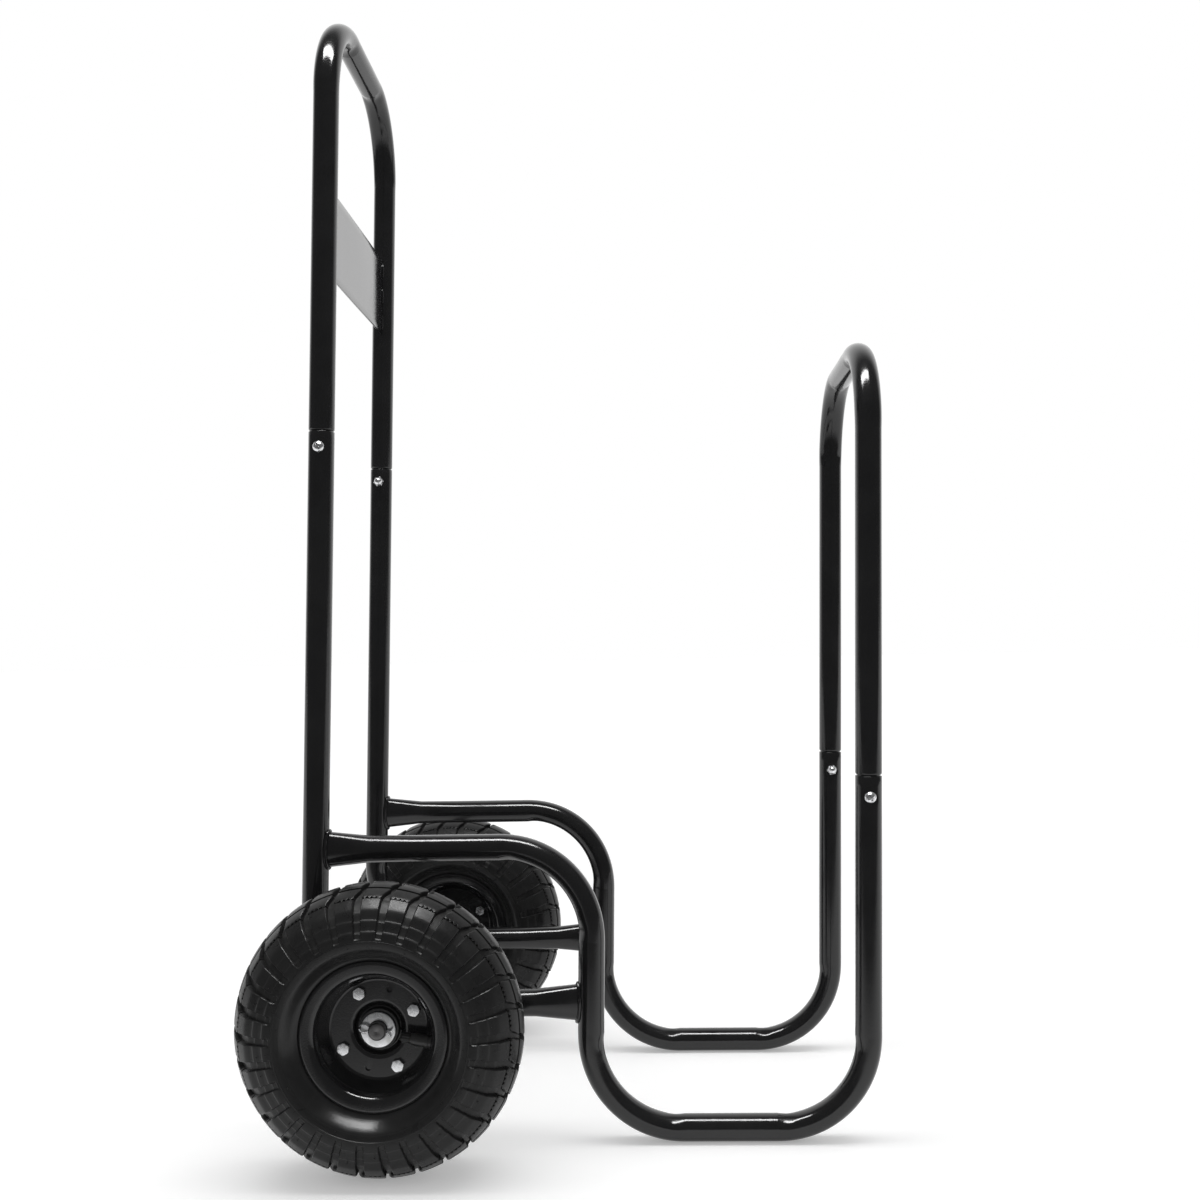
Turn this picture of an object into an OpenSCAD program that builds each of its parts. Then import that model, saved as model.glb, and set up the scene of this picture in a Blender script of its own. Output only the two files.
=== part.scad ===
// Fireside log cart: a bent-tube frame on two pneumatic wheels.
// Split logs lie across the two U-shaped cradle tubes, between the rear
// uprights and the front hoop. The cart is tipped back by its tall handle
// hoop and wheeled. +X points forwards, from the handle to the front hoop,
// +Y is the left side and the floor is at z = 0. The origin lies on the
// floor, at the middle of the cart's length and width.

/* [Tube] */
// Outer diameter of every frame tube
tube_d = 25; // [22:0.5:28]
// Wall thickness of the frame tubes
tube_wall = 1.5; // [1:0.1:2]
// Centre-line radius of every bend
bend_r = 85; // [60:1:100]
// How far a bend stands out from the straight tube beside it
swell = 0.06; // [0.04:0.01:0.12]
// Length over which a straight tube laps into a bend or a flattened end
lap = 1; // [0.5:0.1:1.5]
// Distance between the centres of the left and right frame tubes
frame_gauge = 274; // [240:1:340]
// Forward lean of all uprights from the vertical, in degrees
lean = 1.5; // [0:0.1:4]

/* [Frame] */
// Distance at floor level from the axle back to the rear uprights
upright_offset = 84; // [75:1:100]
// Distance at floor level from the axle forward to the cradle's rear legs
cradle_offset = 182; // [160:1:220]
// Distance at floor level between the cradle's rear and front legs
cradle_span = 261; // [210:1:340]
// Height of the centre of the horizontal tubes above the wheels
rail_z = 277; // [262:1:300]
// Height of the centre of the handle bar
handle_z = 1101.5; // [1040:0.5:1200]
// Height of the centre of the front hoop's bar
front_hoop_z = 756.5; // [600:0.5:850]
// Height of the seam between the rear uprights and the handle hoop
rear_seam_z = 680; // [560:1:720]
// Height of the seam between the cradle tubes and the front hoop
front_seam_z = 340; // [300:1:400]

/* [Sockets] */
// Length of the drawn-in spigot that slides into the tube below
spigot_l = 45; // [38:1:60]
// Radial gap between a spigot and the tube around it
spigot_gap = 0.2; // [0.1:0.05:0.3]
// Open seam that shows between two joined tubes
seam_gap = 1; // [0.5:0.1:2]
// Length over which a hoop leg draws in to its spigot
spigot_taper = 2; // [1:0.5:4]
// Distance of the rear screws below their seam
rear_screw_drop = 15.5; // [12:0.5:22]
// Distance of the front screws below their seam
front_screw_drop = 19.5; // [12:0.5:22]

/* [Flattened ends] */
// Height of a tube end that is pressed flat for welding
flat_h = 34; // [30:0.5:36]
// Thickness of a tube end that is pressed flat for welding
flat_t = 14; // [12:0.5:18]
// Length over which a tube widens to its flattened end
flat_l = 58; // [40:1:70]
// Length of the part at the very end that is evenly flat
flat_land = 6; // [3:1:10]
// Gap left between two welded pieces
weld_gap = 0.05; // [0.02:0.01:0.1]

/* [Handle plate] */
// Height of the sheet plate between the handle's legs
plate_h = 87; // [60:1:120]
// Thickness of the plate
plate_t = 2; // [1.5:0.5:4]
// Height of the middle of the plate
plate_z = 883; // [800:1:940]

/* [Screws] */
// Thread diameter of the frame screws
screw_d = 6; // [5:0.5:7]
// Radial gap round a screw or a bolt in its hole
screw_gap = 0.2; // [0.1:0.05:0.4]
// Diameter of the domed screw heads
screw_head_d = 11; // [9.5:0.5:13]
// Height of the domed screw heads
screw_head_h = 3.6; // [3:0.2:5]
// Width of the cross recess in the screw heads
recess_w = 1.4; // [1:0.1:1.8]
// Depth of the cross recess in the screw heads
recess_depth = 1.8; // [1:0.1:2.4]
// Width across the flats of the cap nuts and the bolt heads
hex_af = 10; // [9:0.5:11]
// Height of the hexagon of a cap nut
nut_h = 5; // [4:0.5:6]

/* [Wheels] */
// Diameter of a tyre over its tread
tyre_d = 260; // [252:1:275]
// Width of a tyre
tyre_w = 85; // [76:1:90]
// Distance from the frame tube's centre to the middle of the wheel
wheel_offset = 80; // [76:1:95]
// Number of tread blocks round a tyre
tread_pitches = 30; // [24:2:36]
// Depth of the tread grooves
tread_depth = 5; // [3:0.5:6]
// Width of the slots between the shoulder blocks
shoulder_slot_w = 6; // [4:0.5:8]
// Width of the slots between the centre blocks
centre_slot_w = 3.5; // [2:0.5:5]
// Half the width of the middle row of blocks
block_row = 12; // [11:0.5:14]
// Width of the two grooves that run round a tyre
groove_w = 3; // [2:0.5:4]
// How far the shoulder slots reach down the tyre's side, below the tread
shoulder_drop = 34; // [30:1:37]
// Thickness of the tyre's side walls
tyre_wall = 5; // [4:0.5:6]
// Wall thickness of the inner tube
inner_tube_wall = 1.6; // [1.2:0.1:2]
// Gap between the inner tube and what surrounds it
inner_tube_gap = 0.5; // [0.3:0.1:1]

/* [Rims] */
// Outer diameter of the rim's flanges
rim_d = 130; // [124:1:134]
// Distance between the outer faces of the two flanges
rim_w = 58; // [54:1:62]
// Thickness of the pressed rim halves
rim_t = 2; // [1.5:0.1:2.4]
// Diameter of the flat disc inside the rim's well
disc_d = 91; // [86:1:94]
// Diameter of the round recess in the middle of the disc
dish_d = 45; // [42:0.5:50]
// Depth of the round recess
dish_depth = 6; // [4:0.5:8]
// Gap between a tyre's bead and the rim
bead_gap = 0.2; // [0.1:0.05:0.4]
// Diameter of the circle on which the rim bolts lie
bolt_circle_d = 72; // [66:0.5:76]
// Angle of the first rim bolt, from the front, seen from outside
bolt_angle = 28; // [0:1:89]
// Thread diameter of the rim bolts
bolt_d = 6; // [5:0.5:6.5]
// Height of the rim bolts' heads
bolt_head_h = 4; // [3:0.5:5]
// Height of the rim nuts
rim_nut_h = 5; // [4:0.5:6]
// Length of bolt thread that stands out of the nut
bolt_spare = 3; // [1:0.5:6]
// Diameter of the two small holes beside the bolts
vent_hole_d = 5; // [3:0.5:6]
// Angle of the first small hole, from the front, seen from outside
vent_hole_angle = 73.7; // [66:0.1:80]

/* [Hubs] */
// Outer diameter of the hub's tube
hub_d = 36; // [34:0.5:39]
// Outer diameter of the ball bearings
bearing_d = 30; // [28:0.5:32]
// Width of a ball bearing
bearing_w = 10; // [8:0.5:12]
// Thickness of a bearing's rings
bearing_ring_t = 1.8; // [1.4:0.1:2]
// Length of the hub's tube
hub_l = 50; // [40:1:54]
// Distance of the hub's outer end from the middle of the wheel
hub_outer = 2.5; // [1:0.5:6]
// Number of balls in a bearing
ball_count = 9; // [7:1:10]

/* [Axle] */
// Diameter of the axle
axle_d = 16; // [15:0.1:16.5]
// Distance of the axle's end from the middle of the wheel
axle_end = 12; // [11:0.5:16]
// Chamfer on the axle's ends
axle_chamfer = 1.2; // [0.5:0.1:2]
// Radial running gap between the axle and a bearing
axle_gap = 0.06; // [0.02:0.01:0.1]
// Outer diameter of the axle's washers
washer_d = 31; // [26:0.5:34]
// Thickness of the axle's washers
washer_t = 2.5; // [2:0.1:3]
// Radial gap of the washers and spacer sleeves on the axle
washer_gap = 0.3; // [0.2:0.05:0.5]
// Gap between a wheel and the washer beside it
side_gap = 0.5; // [0.3:0.1:0.8]
// Outer diameter of the spacer sleeves
spacer_d = 22; // [20:0.5:26]
// Diameter of a split pin
pin_d = 3.2; // [2.5:0.1:3.4]
// Diameter of the split pin's eye over its wire
pin_eye_d = 9; // [8:0.5:10]
// Angle of the split pins, from the front, seen from outside
pin_angle = 170; // [0:1:359]
// Distance from the axle to where a split pin's legs begin to spread
pin_clear = 1; // [0.5:0.1:2]
// Radius of the turn of a split pin's legs
leg_turn_r = 4; // [3:0.5:6]
// Angle through which a split pin's legs are spread
leg_spread = 75; // [30:5:85]
// Length by which a split pin's legs lap into its shank
leg_lap = 0.6; // [0.4:0.1:0.8]

/* [Valves] */
// Diameter of the rubber valve stem
stem_d = 11; // [9:0.5:12]
// Diameter of the brass valve tube
valve_d = 7.6; // [7:0.1:8]
// Diameter of the valve cap
cap_d = 9.6; // [9:0.1:10.5]
// Length of the valve cap
cap_l = 8.5; // [7:0.5:10]
// Gap between the valve cap and the rubber stem
cap_gap = 0.5; // [0.3:0.1:1]
// Distance of the cap's end from the axle's centre
valve_reach = 22; // [20:0.5:26]
// Distance of the valve from the middle of the wheel
valve_offset = 13; // [11:0.5:14]
// Angle of the valve, from the front, seen from outside
valve_angle = -10; // [-20:1:12]

/* [Hidden] */
$fn = 96;

tube_r = tube_d / 2;
half_gauge = frame_gauge / 2;
slope = tan(lean);
axle_z = tyre_d / 2;
brace_z = axle_z;

// The origin is the middle of the overall length: the tyres' back to the
// front of the front hoop's bar.
front_edge = cradle_offset + cradle_span + front_hoop_z * slope + tube_r;
rear_edge = -tyre_d / 2;
axle_x = -(front_edge + rear_edge) / 2;

// Places of the leaning tubes' centre lines at a height z
function rear_x(z) = axle_x - upright_offset + z * slope;
function cradle_rear_x(z) = axle_x + cradle_offset + z * slope;
function cradle_front_x(z) = axle_x + cradle_offset + cradle_span + z * slope;

// Length that a bend takes from the straight before its corner
function corner(angle) = bend_r * tan(angle / 2);

down_turn = 90 + lean;
up_turn = 90 - lean;

spigot_r = tube_r - tube_wall - spigot_gap;
screw_hole_r = screw_d / 2 + screw_gap;
bolt_hole_r = bolt_d / 2 + screw_gap;
wheel_y = half_gauge + wheel_offset;
axle_hole_r = axle_d / 2 + weld_gap;
rear_screw_z = rear_seam_z - rear_screw_drop;
front_screw_z = front_seam_z - front_screw_drop;
black = [0.06, 0.06, 0.065];
rubber = [0.09, 0.09, 0.09];
zinc = [0.75, 0.76, 0.78];

// ---------- placing ----------

// Turns a piece made for the left side over to the right side
module other_side() {
    mirror([0, 1, 0]) children();
}

// Puts a piece on both sides
module both_sides() {
    children();
    other_side() children();
}

// Stands a piece, made along +Z from the floor, on a leaning tube's line
module leaning(x) {
    translate([x, 0, 0]) rotate([0, lean, 0]) children();
}

// Turns a piece made about +Z so that +Z points outwards along the left axle
module on_left_wheel() {
    translate([axle_x, wheel_y, axle_z]) rotate([-90, 0, 0]) children();
}

// Turns by an angle given from the front, seen from outside the wheel
module seen_from_outside(angle) {
    rotate([0, 0, -angle]) children();
}

// ---------- tube shapes ----------

// One bend that starts along +Z and turns towards +X
module elbow(angle, r) {
    translate([bend_r, 0, 0]) rotate([90, 0, 180])
        rotate_extrude(angle = angle) translate([bend_r, 0]) circle(r = r + swell);
}

// A round rod along +Z that follows steps of [straight length, bend angle].
// A positive bend turns towards +X and a negative one towards -X.
module rod_run(steps, r, lap_in = 0) {
    length = steps[0][0];
    angle = steps[0][1];
    lap_out = angle == 0 ? 0 : lap;
    flip = angle < 0 ? 180 : 0;
    translate([0, 0, -lap_in]) cylinder(r = r, h = lap_in + length + lap_out);
    if (angle != 0)
        translate([0, 0, length]) rotate([0, 0, flip]) {
            elbow(abs(angle), r);
            translate([bend_r * (1 - cos(angle)), 0, bend_r * sin(abs(angle))])
                rotate([0, abs(angle), 0]) rotate([0, 0, flip])
                    rod_run([for (i = [1:len(steps) - 1]) steps[i]], r, lap);
        }
}

// A hollow tube that follows the same kind of steps, open at both ends
module tube_run(steps) {
    last = len(steps) - 1;
    over = 1;
    inner = [for (i = [0:last])
        [steps[i][0] + (i == 0 ? over : 0) + (i == last ? over : 0), steps[i][1]]];
    difference() {
        rod_run(steps, tube_r);
        translate([0, 0, -over]) rod_run(inner, tube_r - tube_wall);
    }
}

// The widening, flattened end of a tube: it starts round at the origin,
// runs along +Z, and is tall along X and thin along Y at its far end.
// Its round start stands out from the tube by the swell, over a short lap.
module flat_end_solid(inset, rim, over) {
    start_r = (tube_r - inset + rim) / cos(180 / 32);
    hull() {
        translate([0, 0, -lap]) cylinder(r = start_r, h = 2 * lap, $fn = 32);
        translate([0, 0, flat_l - flat_land])
            scale([flat_h / 2 - inset, flat_t / 2 - inset, 1])
                cylinder(r = 1, h = flat_land + over, $fn = 32);
    }
}

module flat_end() {
    difference() {
        flat_end_solid(0, swell, 0);
        translate([0, 0, -lap / 2]) flat_end_solid(tube_wall, -4 * swell, 2 * lap);
    }
}

// Room for a leaning upright at x, with the gap of a weld round it
module upright_room(x) {
    leaning(x) cylinder(r = tube_r + weld_gap, h = handle_z);
}

// ---------- handle and front hoop ----------

// A hoop whose two legs stand on the seam and whose bar lies across.
// It is drawn in the plane of its lean, with its seam at s = 0.
module hoop(leg_l) {
    straight = leg_l - bend_r - seam_gap - spigot_taper;
    bar = frame_gauge - 2 * bend_r;
    rotate([0, 0, 90]) translate([-half_gauge, 0, seam_gap + spigot_taper])
        tube_run([[straight, 90], [bar, 90], [straight, 0]]);
    for (side = [-1, 1])
        translate([0, side * half_gauge, 0]) spigot();
}

// The drawn-in end of a hoop leg, with its shoulder just above the seam
module spigot() {
    shoulder = seam_gap + spigot_taper;
    difference() {
        union() {
            translate([0, 0, -spigot_l]) cylinder(r = spigot_r, h = spigot_l + seam_gap);
            translate([0, 0, seam_gap])
                cylinder(r1 = spigot_r, r2 = tube_r, h = spigot_taper);
        }
        translate([0, 0, -spigot_l - 1])
            cylinder(r = spigot_r - tube_wall, h = spigot_l + shoulder + 2);
    }
}

// The holes for a screw through both of a hoop's legs
module screw_holes(r) {
    rotate([90, 0, 0]) cylinder(r = r, h = frame_gauge + 2 * tube_d, center = true);
}

// Moves from the foot of a leaning line up to a height on it
module at_height(z) {
    translate([0, 0, z / cos(lean)]) children();
}

module handle_hoop() {
    color(black) leaning(rear_x(0)) difference() {
        at_height(rear_seam_z) hoop((handle_z - rear_seam_z) / cos(lean));
        at_height(rear_screw_z) screw_holes(screw_hole_r);
    }
}

module front_hoop() {
    color(black) leaning(cradle_front_x(0)) difference() {
        at_height(front_seam_z) hoop((front_hoop_z - front_seam_z) / cos(lean));
        at_height(front_screw_z) screw_holes(screw_hole_r);
    }
}

module handle_plate() {
    color(black) difference() {
        leaning(rear_x(0)) at_height(plate_z)
            cube([plate_t, frame_gauge, plate_h], center = true);
        for (side = [-1, 1])
            translate([0, side * half_gauge, 0]) upright_room(rear_x(0));
    }
}

// ---------- frame sides ----------

// Rear upright with its lower end bent forwards into the brace, which ends
// flattened against the cradle tube's rear leg. The axle passes through it.
module rear_upright_left() {
    upright_l = (rear_seam_z - brace_z) / cos(lean) - corner(down_turn);
    brace_l = cradle_rear_x(brace_z) - rear_x(brace_z) - corner(down_turn);
    color(black) difference() {
        union() {
            translate([rear_x(rear_seam_z), half_gauge, rear_seam_z])
                rotate([0, 180 + lean, 0])
                    tube_run([[upright_l, -down_turn], [brace_l - flat_l, 0]]);
            translate([cradle_rear_x(brace_z) - flat_l, half_gauge, brace_z])
                rotate([0, 90, 0]) flat_end();
        }
        translate([0, half_gauge, 0]) upright_room(cradle_rear_x(0));
        translate([axle_x, half_gauge, axle_z]) rotate([90, 0, 0])
            cylinder(r = axle_hole_r, h = 2 * tube_d, center = true);
        leaning(rear_x(0)) at_height(rear_screw_z) screw_holes(screw_hole_r);
    }
}

module rear_upright_right() {
    other_side() rear_upright_left();
}

// U-shaped tube that carries the logs. Its rear end is flattened against
// the rear upright and its front end takes the front hoop's spigot.
module cradle_tube_left() {
    rail_l = cradle_rear_x(rail_z) - rear_x(rail_z) - corner(down_turn);
    leg_l = (rail_z - tube_r) / cos(lean) - 2 * corner(down_turn);
    base_l = cradle_span - corner(down_turn) - corner(up_turn);
    front_l = (front_seam_z - tube_r) / cos(lean) - corner(up_turn);
    color(black) difference() {
        union() {
            translate([rear_x(rail_z) + flat_l, half_gauge, rail_z])
                rotate([0, 90, 0])
                    tube_run([[rail_l - flat_l, down_turn], [leg_l, -down_turn],
                              [base_l, -up_turn], [front_l, 0]]);
            translate([rear_x(rail_z) + flat_l, half_gauge, rail_z])
                rotate([0, -90, 0]) flat_end();
        }
        translate([0, half_gauge, 0]) upright_room(rear_x(0));
        leaning(cradle_front_x(0)) at_height(front_screw_z) screw_holes(screw_hole_r);
    }
}

module cradle_tube_right() {
    other_side() cradle_tube_left();
}

// ---------- screws and nuts of the frame joints ----------

// Domed screw along +Z, with the underside of its head at z = 0
module domed_screw(length) {
    head_r = screw_head_d / 2;
    ball_r = (head_r * head_r + screw_head_h * screw_head_h) / (2 * screw_head_h);
    translate([0, 0, -length]) cylinder(d = screw_d, h = length + 0.5);
    difference() {
        intersection() {
            cylinder(r = head_r, h = screw_head_h);
            translate([0, 0, screw_head_h - ball_r]) sphere(r = ball_r);
        }
        for (turn = [0, 90])
            rotate([0, 0, turn + 45])
                translate([-screw_head_d * 0.3, -recess_w / 2, screw_head_h - recess_depth])
                    cube([screw_head_d * 0.6, recess_w, recess_depth + 1]);
    }
}

// Cap nut on +Z with its flat face at z = 0 and a blind hole for the thread
module cap_nut(hole_l) {
    dome_r = hex_af * 0.45;
    difference() {
        union() {
            cylinder(d = hex_af / cos(30), h = nut_h, $fn = 6);
            translate([0, 0, nut_h]) intersection() {
                sphere(r = dome_r);
                cylinder(r = dome_r, h = dome_r);
            }
        }
        translate([0, 0, -1]) cylinder(d = screw_d + 2 * weld_gap, h = hole_l + 1);
    }
}

screw_through = tube_d + nut_h;

// One left screw through a leaning line at a height, its head outwards
module joint_screw(x, z) {
    leaning(x) at_height(z) translate([0, half_gauge + tube_r, 0])
        rotate([-90, 0, 0]) domed_screw(screw_through);
}

module joint_nut(x, z) {
    leaning(x) at_height(z) translate([0, half_gauge - tube_r, 0])
        rotate([90, 0, 0]) cap_nut(nut_h + screw_gap);
}

module rear_joint_screws() {
    color(zinc) both_sides() joint_screw(rear_x(0), rear_screw_z);
}

module rear_joint_nuts() {
    color(zinc) both_sides() joint_nut(rear_x(0), rear_screw_z);
}

module front_joint_screws() {
    color(zinc) both_sides() joint_screw(cradle_front_x(0), front_screw_z);
}

module front_joint_nuts() {
    color(zinc) both_sides() joint_nut(cradle_front_x(0), front_screw_z);
}

// ---------- axle ----------

// Places along the axle, measured outwards from the middle of the wheel
outer_washer_at = hub_outer + side_gap;
pin_at = outer_washer_at + washer_t + side_gap + pin_d / 2;
hub_inner = hub_l - hub_outer;
inner_washer_at = -hub_inner - side_gap - washer_t;
spacer_l = wheel_offset + inner_washer_at - tube_r - weld_gap;
pin_hole_r = pin_d / 2 + screw_gap;

module axle() {
    half_l = wheel_y + axle_end;
    color(black) translate([axle_x, 0, axle_z]) rotate([-90, 0, 0]) difference() {
        union() {
            cylinder(d = axle_d, h = 2 * (half_l - axle_chamfer), center = true);
            for (side = [0, 180])
                rotate([side, 0, 0]) translate([0, 0, half_l - axle_chamfer])
                    cylinder(d1 = axle_d, d2 = axle_d - 2 * axle_chamfer, h = axle_chamfer);
        }
        for (side = [-1, 1])
            translate([0, 0, side * (wheel_y + pin_at)]) seen_from_outside(pin_angle)
                rotate([0, 90, 0]) cylinder(r = pin_hole_r, h = 2 * axle_d, center = true);
    }
}

// A ring on the axle whose inner face lies at a place along it
module axle_ring(outer_d, at, length) {
    translate([0, 0, at]) difference() {
        cylinder(d = outer_d, h = length);
        translate([0, 0, -1])
            cylinder(d = axle_d + 2 * washer_gap, h = length + 2);
    }
}

module spacer_sleeves() {
    color(zinc) both_sides() on_left_wheel()
        axle_ring(spacer_d, inner_washer_at - spacer_l, spacer_l);
}

module inner_washers() {
    color(zinc) both_sides() on_left_wheel()
        axle_ring(washer_d, inner_washer_at, washer_t);
}

module outer_washers() {
    color(zinc) both_sides() on_left_wheel()
        axle_ring(washer_d, outer_washer_at, washer_t);
}

// Split pin along +X through the axle: an eye at one end of its shank, and
// at the other end two legs that spread to both sides
module split_pin() {
    eye_wire_r = pin_d * 0.3;
    eye_ring_r = pin_eye_d / 2 - eye_wire_r;
    eye_at = (axle_d + pin_d) / 2;
    legs_at = axle_d / 2 + pin_clear;
    translate([-legs_at, 0, 0]) rotate([0, 90, 0])
        cylinder(d = pin_d, h = legs_at + eye_at);
    translate([eye_at + eye_ring_r, 0, 0]) rotate_extrude()
        translate([eye_ring_r, 0]) circle(r = eye_wire_r);
    for (side = [0, 1])
        mirror([0, side, 0])
            translate([-legs_at + leg_lap, leg_turn_r + pin_d / 4, 0])
                rotate([0, 0, -90 - leg_spread]) rotate_extrude(angle = leg_spread)
                    translate([leg_turn_r, 0]) circle(r = pin_d * 0.22);
}

module split_pins() {
    color(zinc) both_sides() on_left_wheel()
        translate([0, 0, pin_at]) seen_from_outside(pin_angle) split_pin();
}

// ---------- wheels: rims, hubs and bearings ----------

// Outline of a pressed sheet that follows a path of [radius, height] points
function unit(v) = v / norm(v);
function side_of(a, b) = let (d = unit(b - a)) [-d[1], d[0]];
function mitre(path, i, t) =
    let (
        last = len(path) - 1,
        n0 = side_of(path[max(i - 1, 0)], path[max(i, 1)]),
        n1 = side_of(path[min(i, last - 1)], path[min(i + 1, last)]),
        m = unit(n0 + n1)
    ) path[i] + m * t / (m * n0);
function sheet(path, t) = concat(
    [for (i = [0:len(path) - 1]) mitre(path, i, t / 2)],
    [for (i = [len(path) - 1:-1:0]) mitre(path, i, -t / 2)]
);

// Points of a profile, set out in small steps from a place on the wheel
function set_out(r, at, step, points) =
    [for (p = points) [r + p[0] * step, at + p[1] * step]];

disc_r = disc_d / 2;
rim_r = rim_d / 2;
dish_r = dish_d / 2;
rim_step = rim_w / 58;
flange_at = rim_w / 2 - rim_t / 2;
flange_curl = 0.8 * rim_step;
well_r = rim_r - 13 * rim_step;
hub_hole_r = hub_d / 2 + weld_gap;

// Path of the sheet's middle from the disc out to the flange's edge
function rim_wall_path(disc_at) = concat(
    set_out(disc_r, disc_at, rim_step, [[-2, 0], [0, 1], [1.5, 4]]),
    set_out(well_r, flange_at, rim_step, [[-1, -9], [1.6, -3.5]]),
    set_out(well_r, flange_at - flange_curl, rim_step, [[4.5, 0]]),
    set_out(rim_r, flange_at, rim_step, [[-1.5, 0]]),
    [[rim_r, flange_at - flange_curl]]
);

function rim_path(disc_at, dish_at) = concat(
    [[hub_hole_r, dish_at]],
    set_out(dish_r, dish_at, rim_step, [[-2, 0], [0, 1.2]]),
    set_out(dish_r, disc_at, rim_step, [[1.2, -1.2], [3.2, 0]]),
    rim_wall_path(disc_at)
);

// Holes for the rim bolts
module bolt_holes() {
    for (turn = [0:90:270])
        seen_from_outside(bolt_angle + turn) translate([bolt_circle_d / 2, 0, 0])
            cylinder(r = bolt_hole_r, h = 4 * rim_t, center = true);
}

// Two small holes between the bolts, in the outer half alone
module vent_holes() {
    for (turn = [0, 180])
        seen_from_outside(vent_hole_angle + turn) translate([bolt_circle_d / 2, 0, 0])
            cylinder(d = vent_hole_d, h = 4 * rim_t, center = true);
}

outer_path = rim_path(rim_t / 2, rim_t / 2 - dish_depth);

// Outer pressed half, with the disc's recess and the valve's hole
module rim_outer() {
    color(black) difference() {
        rotate_extrude() polygon(sheet(outer_path, rim_t));
        bolt_holes();
        vent_holes();
        seen_from_outside(valve_angle) translate([disc_r - 2 * rim_t, 0, valve_offset])
            rotate([0, 90, 0]) cylinder(d = stem_d + 2 * screw_gap, h = 8 * rim_t);
    }
}

// Inner pressed half: its flange faces the frame, its recess nests in the outer one
module rim_inner() {
    flange = rim_wall_path(rim_t / 2 + weld_gap);
    path = concat(
        [for (i = [0:4]) mitre(outer_path, i, -rim_t - weld_gap)],
        [for (point = flange) [point[0], -point[1]]]
    );
    color(black) difference() {
        rotate_extrude() polygon(sheet(path, rim_t));
        bolt_holes();
    }
}

// The four bolts that hold the rim halves together
module rim_bolts() {
    grip = 2 * rim_t + rim_nut_h + bolt_spare;
    color(zinc) for (turn = [0:90:270])
        seen_from_outside(bolt_angle + turn) translate([bolt_circle_d / 2, 0, rim_t]) {
            cylinder(d = hex_af / cos(30), h = bolt_head_h, $fn = 6);
            translate([0, 0, -grip]) cylinder(d = bolt_d, h = grip + 0.5);
        }
}

module rim_nuts() {
    color(zinc) for (turn = [0:90:270])
        seen_from_outside(bolt_angle + turn)
            translate([bolt_circle_d / 2, 0, -rim_t - weld_gap - rim_nut_h]) difference() {
                cylinder(d = hex_af / cos(30), h = rim_nut_h, $fn = 6);
                translate([0, 0, -1])
                    cylinder(d = bolt_d + 2 * weld_gap, h = rim_nut_h + 2);
            }
}

// Tube through the rim's middle, with a seat for a bearing at each end
module hub() {
    seat_r = bearing_d / 2 + weld_gap;
    color(black) translate([0, 0, -hub_inner]) difference() {
        cylinder(d = hub_d, h = hub_l);
        translate([0, 0, -1]) cylinder(r = seat_r - bearing_ring_t, h = hub_l + 2);
        for (at = [-1, hub_l - bearing_w])
            translate([0, 0, at]) cylinder(r = seat_r, h = bearing_w + 1);
    }
}

bore_r = axle_d / 2 + axle_gap;
ball_track_r = (bore_r + bearing_d / 2) / 2;
ball_r = bearing_d / 2 - bearing_ring_t * 2 / 3 - ball_track_r;

// Places something at both ends of the hub
module at_bearings() {
    for (at = [hub_outer - bearing_w / 2, -hub_inner + bearing_w / 2])
        translate([0, 0, at]) children();
}

// Inner and outer ring of both bearings, with a round track between them
module bearing_rings() {
    color(zinc) at_bearings() rotate_extrude() difference() {
        union() {
            translate([bore_r, -bearing_w / 2]) square([bearing_ring_t, bearing_w]);
            translate([bearing_d / 2 - bearing_ring_t, -bearing_w / 2])
                square([bearing_ring_t, bearing_w]);
        }
        translate([ball_track_r, 0]) circle(r = ball_r + weld_gap);
    }
}

module bearing_balls() {
    color(zinc) at_bearings() for (i = [0:ball_count - 1])
        rotate([0, 0, i * 360 / ball_count]) translate([ball_track_r, 0, 0])
            sphere(r = ball_r);
}

// ---------- wheels: tyres and inner tubes ----------

tyre_r = tyre_d / 2;
half_w = tyre_w / 2;
tyre_step = tyre_w / 85;
bead_rise = 0.8 * rim_step;
bead_r = well_r + rim_t + bead_gap + bead_rise;
bead_at = flange_at - rim_t / 2 - flange_curl - bead_gap;
crown_r = tyre_r - tread_depth;

// Half of the tyre's outer shape, from the bead to the middle of the crown
function wall_points(crown) = concat(
    set_out(bead_r, bead_at, tyre_step, [[4.6, 0]]),
    set_out(rim_r, bead_at, tyre_step, [[1, 0], [1, 3.5]]),
    set_out(rim_r, half_w, tyre_step, [[5, -7], [13, -2], [23, 0]]),
    set_out(crown, half_w, tyre_step, [[-29, -2], [-22, -5.5], [-15, -11],
                                       [-8.5, -18], [-3.5, -27.5], [-1, -35.5]]),
    [[crown, 0]]
);

// The block layer's outer shape, from low on the side to the middle
function block_points() = concat(
    set_out(crown_r - shoulder_drop, half_w, tyre_step, [[0, -0.2]]),
    set_out(crown_r, half_w, tyre_step, [[-28, -0.5]]),
    set_out(tyre_r, half_w, tyre_step, [[-25, -3.5], [-18, -8.3], [-10.5, -15], [-4.8, -25]]),
    set_out(tyre_r, 0, tyre_step, [[-0.6, 6], [0, 0]])
);

function mirrored(points) =
    [for (i = [len(points) - 2:-1:0]) [points[i][0], -points[i][1]]];

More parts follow.
